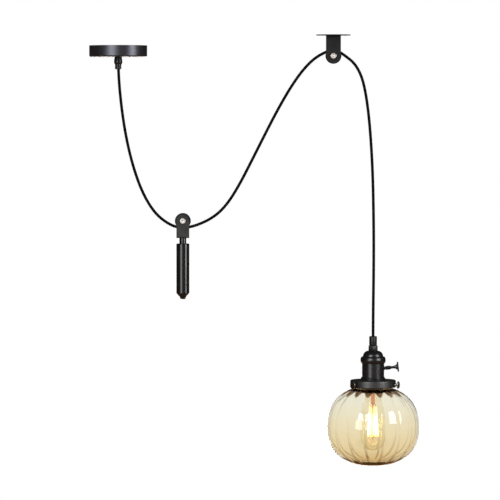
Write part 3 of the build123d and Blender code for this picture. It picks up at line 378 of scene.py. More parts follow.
class NodeSheet:
    """Node tree of one finish, with short calls for the nodes that the finishes share."""

    def __init__(self, name: str) -> None:
        """Start a material with its Principled shader.

        Args:
            name: Name of the material.
        """
        self.material = bpy.data.materials.new(name)
        self.material.use_nodes = True
        self.tree = self.material.node_tree
        self.shader = self.tree.nodes["Principled BSDF"]
        self.output = self.tree.nodes["Material Output"]

    def add(self, kind: str, inputs: dict | None = None, **settings: object) -> bpy.types.Node:
        """Add a node.

        Args:
            kind: Type name of the node.
            inputs: Values or sockets for its inputs, by their names or numbers.
            settings: Properties of the node itself.

        Returns:
            The new node.
        """
        node = self.tree.nodes.new(kind)
        for key, value in settings.items():
            setattr(node, key, value)
        self.feed(node, inputs or {})
        return node

    def feed(self, node: bpy.types.Node, inputs: dict) -> None:
        """Set inputs of a node to values, or link sockets to them.

        Args:
            node: Node to feed.
            inputs: Values or sockets, by the inputs' names or numbers.
        """
        for key, value in inputs.items():
            if isinstance(value, Socket):
                self.tree.links.new(value, node.inputs[key])
            else:
                node.inputs[key].default_value = value

    def set(self, inputs: dict) -> None:
        """Set or link inputs of the Principled shader by their names."""
        self.feed(self.shader, inputs)

    def place(self, stretch: Place = (1, 1, 1), shift: Place = (0, 0, 0)) -> Socket:
        """Give Object coordinates, stretched and shifted.

        Args:
            stretch: Factor along each axis.
            shift: Distance along each axis, in metres.

        Returns:
            The coordinates.
        """
        coords = self.add("ShaderNodeTexCoord").outputs["Object"]
        inputs = {"Vector": coords, "Location": shift, "Scale": stretch}
        return self.add("ShaderNodeMapping", inputs).outputs["Vector"]

    def split(self, vector: Socket) -> bpy.types.NodeOutputs:
        """Give the three parts of a vector."""
        return self.add("ShaderNodeSeparateXYZ", {0: vector}).outputs

    def noise(self, where: Socket, scale: float, detail: float = 4.0) -> Socket:
        """Give a cloudy pattern with so many grains a metre."""
        inputs = {"Vector": where, "Scale": scale, "Detail": detail}
        return self.add("ShaderNodeTexNoise", inputs).outputs["Fac"]

    def maths(self, kind: str, first: object, second: object = 0.0) -> Socket:
        """Give the result of one step of arithmetic."""
        return self.add("ShaderNodeMath", {0: first, 1: second}, operation=kind).outputs[0]

    def spread(self, value: Socket, low: float, high: float, source: Ring = (0.3, 0.7),
               fade: Fade = Fade.EVEN) -> Socket:
        """Stretch a pattern from its usual range to a low and a high value."""
        inputs = {"Value": value, "From Min": source[0], "From Max": source[1], "To Min": low, "To Max": high}
        return self.add("ShaderNodeMapRange", inputs, interpolation_type=fade.value).outputs["Result"]

    def share(self, value: Socket, source: Ring, fade: Fade = Fade.EVEN) -> Socket:
        """Give how far a value is on its way between two others, from 0 to 1."""
        return self.spread(value, 0.0, 1.0, source, fade)

    def blend(self, value: Socket, stops: Sequence[tuple[float, Colour]]) -> Socket:
        """Give the colour at a value on a ramp.

        Args:
            value: Where on the ramp, from 0 to 1.
            stops: Places and colours of the ramp, from low to high.

        Returns:
            The colour.
        """
        ramp = self.add("ShaderNodeValToRGB", {"Fac": value})
        elements = ramp.color_ramp.elements
        while len(elements) < len(stops):
            elements.new(1.0)
        for element, (place, colour) in zip(elements, stops):
            element.position = place
            element.color = (*colour, 1.0)
        return ramp.outputs["Color"]

    def clouds(self, where: Socket, grain: float, colours: Sequence[Colour], stops: Ring = (0.35, 0.7),
               detail: float = 4.0) -> Socket:
        """Give a colour that clouds over into a second one, with so many grains a metre."""
        return self.blend(self.noise(where, grain, detail), tuple(zip(stops, colours)))

    def mix(self, share: Socket, first: Socket, second: Colour) -> Socket:
        """Give a colour that turns from the first to the second as a share rises."""
        inputs = {"Factor": share, "A": first, "B": (*second, 1.0)}
        return self.add("ShaderNodeMix", inputs, data_type="RGBA").outputs["Result"]

    def relief(self, height: Socket, depth: float, strength: float = 1.0) -> Socket:
        """Give a normal for a height pattern that is so many millimetres deep."""
        inputs = {"Height": height, "Distance": depth * MM, "Strength": strength}
        return self.add("ShaderNodeBump", inputs).outputs["Normal"]


class WorldSheet(NodeSheet):
    """Node tree of the world."""

    def __init__(self, name: str) -> None:
        """Start a world with an empty tree.

        Args:
            name: Name of the world.
        """
        self.world = bpy.data.worlds.new(name)
        self.world.use_nodes = True
        self.tree = self.world.node_tree
        self.tree.nodes.clear()


@dataclass(frozen=True)
class Finish:
    """Finish with a name, which each kind paints in its own way."""

    name: str

    def make(self) -> bpy.types.Material:
        """Build the finish.

        Returns:
            The new material.
        """
        sheet = NodeSheet(self.name)
        self.paint(sheet)
        return sheet.material

    def paint(self, sheet: NodeSheet) -> None:
        """Set the shader of a new sheet."""
        raise NotImplementedError


@dataclass(frozen=True)
class Enamel(Finish):
    """Baked enamel: an even colour with faint clouds, an orange-peel skin and a patchy sheen."""

    colour: Colour
    cloud: Colour
    roughness: float
    patch: float = 0.06
    peel: float = 1400.0
    peel_depth: float = 0.008
    specular: float = 0.5
    tint: Colour = WHITE
    cloud_grain: float = 45.0
    patch_grain: float = 130.0

    def paint(self, sheet: NodeSheet) -> None:
        """Paint the enamel.

        Args:
            sheet: Sheet of the new material.
        """
        where = sheet.place()
        patches = sheet.noise(where, self.patch_grain)
        sheet.set({
            "Base Color": sheet.clouds(where, self.cloud_grain, (self.colour, self.cloud)),
            "Roughness": sheet.spread(patches, self.roughness - self.patch, self.roughness + self.patch),
            "Specular IOR Level": self.specular,
            "Specular Tint": (*self.tint, 1.0),
            "Normal": sheet.relief(sheet.noise(where, self.peel, detail=2.0), self.peel_depth),
        })


@dataclass(frozen=True)
class BareMetal(Finish):
    """Bare metal with fine tool marks round its axis and dull patches."""

    colour: Colour
    tarnish: Colour
    roughness: float
    marks: Place
    mark_depth: float = 0.002
    mark_sheen: Ring = (-0.05, 0.1)
    patch_grain: float = 90.0
    patch_detail: float = 6.0
    patch_stops: Ring = (0.38, 0.72)

    def paint(self, sheet: NodeSheet) -> None:
        """Paint the metal.

        Args:
            sheet: Sheet of the new material.
        """
        tones = (self.colour, self.tarnish)
        dull = sheet.clouds(sheet.place(), self.patch_grain, tones, self.patch_stops, self.patch_detail)
        lines = sheet.noise(sheet.place(self.marks), scale=1.0, detail=3.0)
        sheet.set({
            "Base Color": dull,
            "Metallic": 1.0,
            "Roughness": sheet.spread(lines, *(self.roughness + change for change in self.mark_sheen)),
            "Normal": sheet.relief(lines, self.mark_depth),
        })


@dataclass(frozen=True)
class Moulding(Finish):
    """Moulded plastic, rubber or pressed fibre with a fine matt skin."""

    colour: Colour
    cloud: Colour
    roughness: float
    grain: float
    grain_depth: float
    specular: float = 0.5
    patch: float = 0.07
    cloud_grain: float = 60.0

    def paint(self, sheet: NodeSheet) -> None:
        """Paint the moulded skin.

        Args:
            sheet: Sheet of the new material.
        """
        where = sheet.place()
        grain = sheet.noise(where, self.grain, detail=5.0)
        sheet.set({
            "Base Color": sheet.clouds(where, self.cloud_grain, (self.colour, self.cloud)),
            "Roughness": sheet.spread(grain, self.roughness - self.patch, self.roughness + self.patch),
            "Specular IOR Level": self.specular,
            "Normal": sheet.relief(grain, self.grain_depth),
        })


@dataclass(frozen=True)
class BraidedSleeve(Finish):
    """Braided textile sleeve of a cord, with so many crossings to each unit along the UV map."""

    thread: Colour
    gap: Colour
    strands: int = 10
    crossings: float = 34.0
    depth: float = 0.1
    relief_strength: float = 0.6
    fibre_grain: float = 2600.0
    fibre_share: float = 0.3
    specular: float = 0.02

    def paint(self, sheet: NodeSheet) -> None:
        """Paint the braid.

        Args:
            sheet: Sheet of the new material.
        """
        parts = sheet.split(sheet.add("ShaderNodeTexCoord").outputs["UV"])
        around = sheet.maths("MULTIPLY", parts[0], self.strands * math.pi)
        along = sheet.maths("MULTIPLY", parts[1], self.crossings * math.pi)
        right, left = (sheet.maths("ABSOLUTE", sheet.maths("SINE", sheet.maths(kind, along, around)))
                       for kind in ("ADD", "SUBTRACT"))
        weave = sheet.maths("MULTIPLY", right, left)
        fibre = sheet.noise(sheet.place(), self.fibre_grain, detail=2.0)
        height = sheet.maths("ADD", weave, sheet.maths("MULTIPLY", fibre, self.fibre_share))
        sheet.set({
            "Base Color": sheet.blend(weave, [(0.05, self.gap), (0.6, self.thread)]),
            "Roughness": sheet.spread(fibre, low=0.6, high=0.85),
            "Specular IOR Level": self.specular,
            "Normal": sheet.relief(height, self.depth, self.relief_strength),
        })


@dataclass(frozen=True)
class Glass(Finish):
    """Thin blown glass with a warm tint and paler clouds."""

    colour: Colour
    paler: float = 1.02
    cloud_grain: float = 30.0
    cloud_stops: Ring = (0.3, 0.7)
    sheen_grain: float = 55.0

    def paint(self, sheet: NodeSheet) -> None:
        """Paint the glass.

        Args:
            sheet: Sheet of the new material.
        """
        where = sheet.place()
        pale = tuple(min(1.0, channel * self.paler) for channel in self.colour)
        sheet.set({
            "Base Color": sheet.clouds(where, self.cloud_grain, (self.colour, pale), self.cloud_stops),
            "Roughness": sheet.spread(sheet.noise(where, self.sheen_grain), *GLASS_SHEEN),
            "IOR": GLASS_INDEX,
            "Transmission Weight": 1.0,
        })


@dataclass(frozen=True)
class AmberGlass(Finish):
    """Pressed amber glass, deeper at the foot, with painted shade in its low creases and a painted reflection
    crown under the neck.
    """

    tones: tuple[tuple[float, Colour], ...] = (
        (0.0, (0.78, 0.60, 0.34)), (0.15, (0.90, 0.81, 0.60)), (0.5, (0.94, 0.895, 0.745)),
        (0.85, (0.95, 0.95, 0.885)))
    axis_x: float = 440.8
    levels: Ring = (-727.0, -596.0)
    lobes: int = 16
    # Painted shade: a brown tone laid along the lobe valleys, strongest at the foot.
    crease_shade_tone: Colour = (0.22, 0.11, 0.035)
    crease_shade_width: Ring = (-0.75, -1.0)
    crease_shade_fade: float = 5.0
    # Painted reflection: dark points standing for the black carrier seen in the flutes under the neck.
    crown_reflection_tone: Colour = (0.25, 0.165, 0.11)
    crown_reflection_levels: Ring = (-607.5, -597.0)
    crown_reflection_points: Ring = (-1.0, 1.4)
    crown_reflection_edge: Ring = (0.05, 0.5)
    deep_tone: Colour = (0.80, 0.56, 0.05)
    density: float = 30.0
    sheen_grain: float = 70.0
    wave_grain: float = 42.0
    wave_depth: float = 0.15
    wave_strength: float = 0.5

    def paint(self, sheet: NodeSheet) -> None:
        """Paint the shade's glass.

        Args:
            sheet: Sheet of the new material.
        """
        where = sheet.place(shift=(-self.axis_x * MM, 0, 0))
        x, y, height = sheet.split(where)
        low, high = (level * MM for level in self.levels)
        rise = sheet.share(height, (low, high))
        lobe = sheet.maths("COSINE", sheet.maths("MULTIPLY", sheet.maths("ARCTAN2", y, x), self.lobes))
        lowness = sheet.maths("POWER", sheet.maths("SUBTRACT", 1.0, rise), self.crease_shade_fade)
        # Painted shade along the lower lobe valleys.
        crease_shade = sheet.maths("MULTIPLY", sheet.share(lobe, self.crease_shade_width), lowness)
        # Painted reflection of the dark carrier, as points rising to the neck.
        reflection_low, reflection_high = (level * MM for level in self.crown_reflection_levels)
        points = sheet.spread(height, *self.crown_reflection_points, (reflection_low, reflection_high))
        crown_reflection = sheet.share(sheet.maths("SUBTRACT", points, lobe), self.crown_reflection_edge)
        crease_shaded = sheet.mix(crease_shade, sheet.blend(rise, self.tones), self.crease_shade_tone)
        waves = sheet.noise(where, self.wave_grain, detail=1.0)
        sheet.set({
            "Base Color": sheet.mix(crown_reflection, crease_shaded, self.crown_reflection_tone),
            "Roughness": sheet.spread(sheet.noise(where, self.sheen_grain), *GLASS_SHEEN),
            "IOR": GLASS_INDEX,
            "Transmission Weight": 1.0,
            "Normal": sheet.relief(waves, self.wave_depth, self.wave_strength),
        })
        inputs = {"Color": (*self.deep_tone, 1.0), "Density": self.density}
        absorb = sheet.add("ShaderNodeVolumeAbsorption", inputs)
        sheet.feed(sheet.output, {"Volume": absorb.outputs[0]})


@dataclass(frozen=True)
class GlowingWire(Finish):
    """Filament wire that glows white-yellow low down, and orange at its cooler bends and top."""

    glow: tuple[tuple[float, Colour], ...] = (
        (0.0, (0.9, 0.30, 0.05)), (0.1, (1.0, 0.80, 0.38)), (0.45, (1.0, 0.80, 0.40)),
        (0.8, (0.30, 0.20, 0.08)), (1.0, (0.16, 0.09, 0.03)))
    strength: float = 15.0
    levels: Ring = (-676.5, -624.5)
    sheen_grain: float = 900.0

    def paint(self, sheet: NodeSheet) -> None:
        """Paint the wire.

        Args:
            sheet: Sheet of the new material.
        """
        where = sheet.place()
        low, high = (level * MM for level in self.levels)
        colour = sheet.blend(sheet.share(sheet.split(where)[2], (low, high)), self.glow)
        sheet.set({
            "Base Color": colour,
            "Roughness": sheet.spread(sheet.noise(where, self.sheen_grain), low=0.35, high=0.55),
            "Emission Color": colour,
            "Emission Strength": self.strength,
        })


FINISHES = {
    Slot.ZINC: BareMetal("zinc_plate", (0.60, 0.60, 0.58), (0.42, 0.42, 0.41), 0.38, (900, 900, 140)),
    Slot.BRIGHT: BareMetal("bright_pin", (0.52, 0.51, 0.49), (0.36, 0.35, 0.33), 0.4, (1500, 60, 1500)),
    Slot.BLACK: Enamel("black_enamel", (0.004, 0.004, 0.0045), (0.006, 0.006, 0.0065), 0.3, 0.03,
                       peel_depth=0.003, specular=0.42),
    Slot.GREY: Enamel("grey_crackle", (0.010, 0.010, 0.0105), (0.024, 0.024, 0.0235), 0.55, 0.08, 650.0, 0.03,
                      specular=0.25),
    Slot.PLASTIC: Moulding("black_moulding", (0.005, 0.005, 0.0054), (0.008, 0.008, 0.008), 0.36, 1500.0,
                           0.006, 0.28),
    Slot.RUBBER: Moulding("soft_rubber", (0.020, 0.020, 0.020), (0.030, 0.029, 0.028), 0.78, 1800.0, 0.03),
    Slot.WHITE: Moulding("white_moulding", (0.74, 0.73, 0.69), (0.68, 0.67, 0.63), 0.45, 900.0, 0.02),
    Slot.CORE: Moulding("brown_core", (0.045, 0.034, 0.026), (0.030, 0.022, 0.017), 0.28, 300.0, 0.02),
    Slot.FIBRE: Moulding("pressed_fibre", (0.45, 0.36, 0.24), (0.36, 0.28, 0.18), 0.85, 700.0, 0.06),
    Slot.BRASS: BareMetal("rolled_brass", (0.76, 0.56, 0.27), (0.56, 0.36, 0.15), 0.3, (800, 800, 200)),
    Slot.LEAD: Moulding("lead_insulation", (0.30, 0.17, 0.09), (0.25, 0.14, 0.07), 0.5, 1200.0, 0.02),
    Slot.SLEEVE: BraidedSleeve("braided_sleeve", (0.0045, 0.0045, 0.0045), (0.001, 0.001, 0.001)),
    Slot.AMBER: AmberGlass("amber_glass"),
    Slot.CLEAR: Glass("clear_bulb_glass", (0.97, 0.94, 0.86)),
    Slot.WIRE: GlowingWire("glowing_wire"),
}
CANOPY_ENAMEL = Enamel("canopy_enamel", (0.006, 0.006, 0.007), (0.010, 0.010, 0.011), 0.36, 0.02,
                       peel_depth=0.002, specular=0.62, tint=(0.84, 0.86, 1.0))
FORK_ENAMEL = Enamel("fork_enamel", (0.007, 0.007, 0.0073), (0.011, 0.011, 0.011), 0.5, specular=0.1)
WEIGHT_ENAMEL = Enamel("weight_enamel", (0.004, 0.004, 0.004), (0.006, 0.006, 0.0058), 0.2, 0.015,
                       peel_depth=0.0006, specular=0.34)
CARRIER_ENAMEL = Enamel("carrier_enamel", (0.006, 0.006, 0.006), (0.009, 0.009, 0.0088), 0.44, 0.05,
                        peel_depth=0.004, specular=0.62)
DARK_STEEL = BareMetal("dark_steel", (0.20, 0.185, 0.17), (0.05, 0.045, 0.04), 0.24, (700, 700, 700))
COPPER_LEAD = BareMetal("copper_lead", (0.62, 0.30, 0.14), (0.40, 0.18, 0.08), 0.34, (900, 900, 120))
STEM_GLASS = Glass("stem_glass", (0.66, 0.30, 0.18), 1.6, 240.0)


@dataclass(frozen=True)
class Dress:
    """How a modelled piece is finished: its body and slot, the rounding of its edges and its shading."""

    body: Body
    slot: Slot
    rounding: Rounding | None = None
    angle: float = SMOOTH_ANGLE
    flats: bool = False
    finish: Finish | None = None


class Dresser:
    """Keeps one material for each finish, finishes pieces and puts them on their bodies."""

    def __init__(self) -> None:
        """Start with no material made and no solid replaced."""
        self.materials: dict[Finish, bpy.types.Material] = {}
        self.replaced: set[str] = set()

    def material(self, finish: Finish) -> bpy.types.Material:
        """Give the material of a finish, made at its first use.

        Args:
            finish: Finish to look up.

        Returns:
            The material.
        """
        if finish not in self.materials:
            self.materials[finish] = finish.make()
        return self.materials[finish]

    def dress(self, piece: Piece, node: str, dress: Dress, place: Place | None = None,
              axis: Axis = Axis.UP) -> None:
        """Round, seat and shade a modelled piece, and settle it.

        Args:
            piece: Piece modelled about the upright axis through the origin.
            node: Solid that it replaces.
            dress: How it is finished.
            place: Where its origin goes in millimetres, or None where it stands already.
            axis: Where its upright axis points.
        """
        if dress.rounding:
            dress.rounding.apply(piece)
        if place:
            seat(piece, place, axis.value)
        smooth(piece, dress.angle, dress.flats)
        self.settle(piece, node, dress.body, dress.slot, dress.finish)

    def settle(self, piece: Piece, node: str, body: Body, slot: Slot, finish: Finish | None = None) -> None:
        """Give a piece its finish, its body and the solid it stands for.

        Args:
            piece: Finished piece.
            node: Solid that it replaces.
            body: Body that it rides on.
            slot: Slot that its finish comes from.
            finish: Finish of this piece, where it differs from its slot's.
        """
        self.coat(piece, finish or FINISHES[slot])
        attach(piece, body.value)
        self.stand_for(piece, node, slot)

    def coat(self, piece: Piece, finish: Finish) -> None:
        """Give a piece's mesh one finish alone."""
        piece.data.materials.clear()
        piece.data.materials.append(self.material(finish))

    def stand_for(self, piece: Piece, node: str, slot: Slot) -> None:
        """Hide the solid that a piece replaces, keep its name among the replaced, and log the piece with its
        slot.

        Args:
            piece: Finished piece.
            node: Solid that it replaces.
            slot: Slot of the record.
        """
        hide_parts(node)
        self.replaced.add(node)
        log.info("%s: %d faces, %s", piece.name, len(piece.data.polygons), slot.value)

    def soften(self, body: Body, slot: Slot, *nodes: str, width: float = 0.0,
               finish: Finish | None = None) -> None:
        """Replace solids by copies with rounded edges.

        Args:
            body: Body that they ride on.
            slot: Slot that their finish comes from.
            nodes: Solids to replace.
            width: Width of the rounding in millimetres, or 0 for none.
            finish: Finish of these pieces, where it differs from their slot's.
        """
        for node in nodes:
            self.settle(softened(node, width), node, body, slot, finish)

    def coat_solids(self) -> None:
        """Give every solid that still shows the finish of its slot."""
        slots = {row["node"]: Slot(row["material_slot"]) for row in frame["record"]["subparts"]}
        for node, solid in frame["nodes"].items():
            if node not in self.replaced:
                for holder in solid.material_slots:
                    holder.material = self.material(FINISHES[slots[node]])
                log.info("%s: solid, %s", node, slots[node].value)


@dataclass(frozen=True)
class CordRun:
    """One run of the cord, between two pieces that hold it."""

    node: str
    route: tuple[Ring, ...]
    length: float
    bodies: tuple[Body, Body]
    bend_start: Ring
    bend_end: Ring
    diameter: float = 5.0
    rings_a_span: int = 10
    sides: int = 6
    smooth_angle: float = 60.0

    def build(self, dresser: Dresser) -> None:
        """Draw the run on one smooth spline and make it a tube.

        Args:
            dresser: Gives the finish, and hides and logs the solid that the run replaces.
        """
        clear_selection()
        curve = bpy.data.curves.new(f"{self.node}_line", "CURVE")
        curve.dimensions = "3D"
        curve.resolution_u = self.rings_a_span
        spline = curve.splines.new("NURBS")
        spline.points.add(len(self.route) - 1)
        for point, (x, z) in zip(spline.points, self.route):
            point.co = (x * MM, 0.0, z * MM, 1.0)
        spline.order_u = 3
        spline.use_endpoint_u = True
        piece = bpy.data.objects.new(f"{self.node}_braid", curve)
        bpy.context.scene.collection.objects.link(piece)
        line = bpy.data.meshes.new_from_object(piece)
        bpy.data.meshes.remove(line)
        curve.bevel_depth = self.diameter / 2 * MM
        curve.bevel_resolution = self.sides
        curve.use_fill_caps = True
        take(piece)
        bpy.ops.object.convert(target="MESH")
        for corner in piece.data.uv_layers[0].data:
            corner.uv.y *= self.length / CORD_UV_UNIT
        smooth(piece, self.smooth_angle)
        dresser.coat(piece, FINISHES[Slot.SLEEVE])
        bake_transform(piece)
        dresser.stand_for(piece, self.node, Slot.SLEEVE)


CORD_RUNS = (
    CordRun(
        "cord_canopy_run",
        ((0, -14.4), (0, -49.7), (6.2, -113.6), (14.8, -165.9), (26.2, -211.5), (40.3, -251.1),
         (57.3, -281.8), (75, -300.8), (99, -314.8), (123, -314.8), (136, -310.1)),
        367.1, (Body.CEILING, Body.WEIGHT), (0, -60), (97.5, -310.5)),
    CordRun(
        "cord_middle_run",
        ((136, -310.1), (149, -305.4), (168, -294), (182.5, -280.5), (195, -264), (208.5, -241.7),
         (222, -216.3), (263.2, -134.4), (280.8, -101.6), (298.2, -72), (315.5, -47), (331.5, -29),
         (345.8, -17.9), (359.4, -11.2), (372.7, -4.75), (384.6, -12.8)),
        409.9, (Body.WEIGHT, Body.CEILING), (130, -310), (355, -13)),
    CordRun(
        "cord_lamp_run",
        ((384.6, -12.8), (397.6, -21.6), (410, -33.2), (420.5, -52.9), (427.3, -80), (432.9, -118.9),
         (437.2, -170.1), (440.1, -227), (441.3, -284), (441.9, -345), (441.6, -407), (440.8, -470),
         (440.8, -532.7)),
        536.0, (Body.CEILING, Body.LAMP), (400, -30), (440.8, -490)),
)


@dataclass
class Canopy:
    """Ceiling canopy with its bar, screws and the cord grip under it."""

    dresser: Dresser
    rim_radius: float = 50.0
    height: float = 19.7
    wall: float = 1.2
    edge: float = 2.4
    grip_hole: float = 5.2
    screw_hole: float = 2.1
    countersink: float = 3.85
    countersink_gap: float = 0.15
    countersink_over: float = 0.5
    grip_radii: tuple[float, float, float] = (6.5, 7.7, 6.1)
    grip_wide_drop: float = 9.2
    grip_bulges: Ring = (0.15, 0.3)
    grip_bore: float = 4.2
    socket_bore: float = 5.0
    socket_depth: float = 4.9
    stub_radius: float = 5.0
    rib_steps: int = 3
    rib_count: int = 24
    rib_depth: float = 0.05
    rib_margins: Ring = (1.5, 1.2)
    rib_clear: float = 0.2
    rib_angle_gap: float = 0.01
    sleeve_radius: float = 5.6
    sleeve_round: float = 1.0
    cord_hole: float = 2.65
    groove_drops: tuple[float, ...] = (2.2, 4.2, 6.2)
    groove_shape: tuple[Ring, ...] = ((0.0, 0.5), (-0.3, 0.15), (-0.3, -0.15), (0.0, -0.5))

    def build(self) -> None:
        """Build the canopy's pieces in order."""
        self.build_cover()
        self.build_grip()
        self.build_sleeve()
        self.dresser.soften(Body.CEILING, Slot.ZINC, "canopy_screws", "canopy_grip_locknut", "mounting_bar",
                            "block_screw", width=0.15)
        self.dresser.soften(Body.CEILING, Slot.WHITE, "terminal_block", width=0.3)

    def build_cover(self) -> None:
        """Turn the cover and sink its two screw holes."""
        low, knee = -self.height, self.edge - self.height
        floor = low + self.wall
        corner = (self.rim_radius - self.edge, knee)
        rings = [(self.rim_radius, 0.0), (self.rim_radius, knee / 2)]
        rings += arc(corner, self.edge, 0, -90, 8)
        rings += [(self.grip_hole, low), (self.grip_hole, floor)]
        rings += arc(corner, self.edge - self.wall, -90, 0, 6)
        rings += [(self.rim_radius - self.wall, 0.0), (self.rim_radius, 0.0)]
        cover = turned("canopy_cover_dressed", rings, steps=160)
        over = self.countersink_over
        sink = [(0, low - over), (self.countersink + over, low - over),
                (self.screw_hole, low + self.countersink - self.screw_hole),
                (self.screw_hole, floor + over), (0, floor + over)]
        left, right = reach_of("canopy_screws", Along.SIDE)
        inset = self.countersink - self.countersink_gap
        for x in (left + inset, right - inset):
            cutter = turned("countersink", sink, steps=40)
            seat(cutter, (x, 0, 0))
            carve(cover, cutter)
        dress = Dress(Body.CEILING, Slot.BLACK, Rounding(0.25), flats=True, finish=CANOPY_ENAMEL)
        self.dresser.dress(cover, "canopy_cover", dress)

    def build_grip(self) -> None:
        """Turn the ribbed grip body with its threaded stub."""
        low, stub_top = reach_of("canopy_grip_body")
        top = -self.height
        high_r, wide_r, low_r = self.grip_radii
        upper, lower = self.grip_bulges
        waist = (wide_r, top - self.grip_wide_drop)
        step = low + self.socket_depth
        rings = [(self.grip_bore, stub_top), (self.stub_radius, stub_top), (self.stub_radius, top),
                 (high_r, top)]
        rings += bow((high_r, top), waist, upper, 7)[1:]
        rings += bow(waist, (low_r, low), lower, 6)[1:]
        rings += [(self.socket_bore, low), (self.socket_bore, step), (self.grip_bore, step),
                  (self.grip_bore, stub_top)]
        grip = turned("canopy_grip_body_dressed", rings, self.rib_steps * self.rib_count)
        self.press_ribs(grip, low + self.rib_margins[0], top - self.rib_margins[1])
        dress = Dress(Body.CEILING, Slot.PLASTIC, Rounding(0.2, limit=50), angle=25)
        self.dresser.dress(grip, "canopy_grip_body", dress)

    def press_ribs(self, grip: Piece, low: float, top: float) -> None:
        """Draw in every rib's valley between two heights.

        Args:
            grip: Grip body, turned about the origin.
            low: Lowest place of the ribs.
            top: Highest place of the ribs.
        """
        step = 2 * math.pi / self.rib_count
        for vertex in grip.data.vertices:
            x, y, z = vertex.co / MM
            off = abs((math.atan2(y, x) + step / 2) % step - step / 2)
            outside = math.hypot(x, y) > self.stub_radius + self.rib_clear
            vertex.select = off < self.rib_angle_gap and outside and low < z < top
        take(grip)
        bpy.ops.object.mode_set(mode="EDIT")
        draw_in = 1 - self.rib_depth
        bpy.ops.transform.resize(value=(draw_in, draw_in, 1), center_override=(0, 0, 0))
        bpy.ops.object.mode_set(mode="OBJECT")

    def build_sleeve(self) -> None:
        """Turn the strain-relief sleeve with its shallow grooves."""
        low, high = reach_of("canopy_grip_sleeve")
        top = reach_of("canopy_grip_body")[0]
        outer, inner = self.sleeve_radius, self.socket_bore - THREAD_GAP
        rings = [(self.cord_hole, high), (inner, high), (inner, top), (outer, top)]
        for drop in self.groove_drops:
            rings += beside((outer, top - drop), self.groove_shape)
        rings += arc((outer - self.sleeve_round, low + self.sleeve_round), self.sleeve_round, 0, -90, 5)
        rings += [(self.cord_hole, low), (self.cord_hole, high)]
        sleeve = turned("canopy_grip_sleeve_dressed", rings, steps=48)
        self.dresser.dress(sleeve, "canopy_grip_sleeve", Dress(Body.CEILING, Slot.PLASTIC))


@dataclass
class AxlePin:
    """Axle pin with a rounded, dimpled head to the front."""

    dresser: Dresser
    node: str
    body: Body
    pin_radius: float = 2.5
    pin_chamfer: float = 0.4
    head_radius: float = 5.1
    head_height: float = 2.8
    head_edge: float = 0.9
    dimple_radius: float = 1.6
    dimple_depth: float = 0.7
    dimple_edge: Ring = (0.3, 0.2)
    dimple_bulge: float = 0.2

    def build(self) -> None:
        """Turn the pin and lay it across its fork."""
        x, _, z = centre_of(self.node)
        front, back = reach_of(self.node, Along.DEPTH)
        face, tail = -front, -back
        head_low = face - self.head_height
        edge_width, edge_drop = self.dimple_edge
        dimple = (self.dimple_radius, face - edge_drop)
        rings = [(0, tail), (self.pin_radius - self.pin_chamfer, tail),
                 (self.pin_radius, tail + self.pin_chamfer), (self.pin_radius, head_low),
                 (self.head_radius, head_low)]
        rings += arc((self.head_radius - self.head_edge, face - self.head_edge), self.head_edge, 0, 90, 6)
        rings += [(self.dimple_radius + edge_width, face)]
        rings += bow(dimple, (0, face - self.dimple_depth), self.dimple_bulge, 5)
        pin = turned(f"{self.node}_dressed", rings, steps=64)
        dress = Dress(self.body, Slot.BRIGHT, angle=40, flats=True)
        self.dresser.dress(pin, self.node, dress, (x, 0, z), Axis.FRONT)


@dataclass
class GroovedWheel:
    """Pulley wheel with a round groove, dished cheeks and a bored hub."""

    dresser: Dresser
    node: str
    body: Body
    rim_radius: float = 13.75
    width: float = 9.0
    land: float = 0.9
    groove_floor: float = 8.7
    groove_round: float = 2.9
    bore: float = 4.0
    hub_radius: float = 6.0
    rim_band: float = 2.2
    dish: float = 1.0
    dish_slope: float = 0.4

    def build(self) -> None:
        """Turn the wheel, whose cheeks mirror each other, and set it on its pin."""
        half = self.width / 2
        inner_rim = self.rim_radius - self.rim_band
        floor = half - self.dish
        cheek = [(self.bore, half), (self.hub_radius, half), (self.hub_radius + self.dish_slope, floor),
                 (inner_rim - self.dish_slope, floor), (inner_rim, half), (self.rim_radius, half),
                 (self.rim_radius, half - self.land)]
        rings = [(radius, -level) for radius, level in cheek]
        rings += arc((self.groove_floor + self.groove_round, 0), self.groove_round, 270, 90, 13)
        rings += cheek[::-1] + rings[:1]
        wheel = turned(f"{self.node}_dressed", rings, steps=72)
        dress = Dress(self.body, Slot.PLASTIC, Rounding(0.2, limit=35), flats=True)
        self.dresser.dress(wheel, self.node, dress, centre_of(self.node), Axis.FRONT)


@dataclass
class CeilingPulley:
    """Ceiling plate with its fork, axle and wheel."""

    dresser: Dresser
    plate_radius: float = 29.7
    rivet_hole: float = 2.7
    screw_hole: float = 2.25
    screw_spacing: float = 42.0

    def build(self) -> None:
        """Build the pulley's pieces in order."""
        self.build_plate()
        self.dresser.soften(Body.CEILING, Slot.BLACK, "ceiling_fork", width=0.35, finish=FORK_ENAMEL)
        self.dresser.soften(Body.CEILING, Slot.ZINC, "fork_rivet", width=0.15)
        self.dresser.soften(Body.CEILING, Slot.BRIGHT, "ceiling_axle_nut", width=0.2)
        AxlePin(self.dresser, "ceiling_axle", Body.CEILING).build()
        GroovedWheel(self.dresser, "ceiling_sheave", Body.CEILING_PULLEY).build()

    def build_plate(self) -> None:
        """Turn the plate and drill its screw holes."""
        low, top = reach_of("pulley_plate")
        rings = [(self.rivet_hole, low), (self.plate_radius, low), (self.plate_radius, top),
                 (self.rivet_hole, top), (self.rivet_hole, low)]
        plate = turned("pulley_plate_dressed", rings, steps=120)
        for x in (-self.screw_spacing / 2, self.screw_spacing / 2):
            drill(plate, self.screw_hole, (low - CUT_OVER, top + CUT_OVER), (x, 0, 0))
        dress = Dress(Body.CEILING, Slot.BLACK, Rounding(0.4), flats=True, finish=FORK_ENAMEL)
        self.dresser.dress(plate, "pulley_plate", dress, axis_of("pulley_plate"))


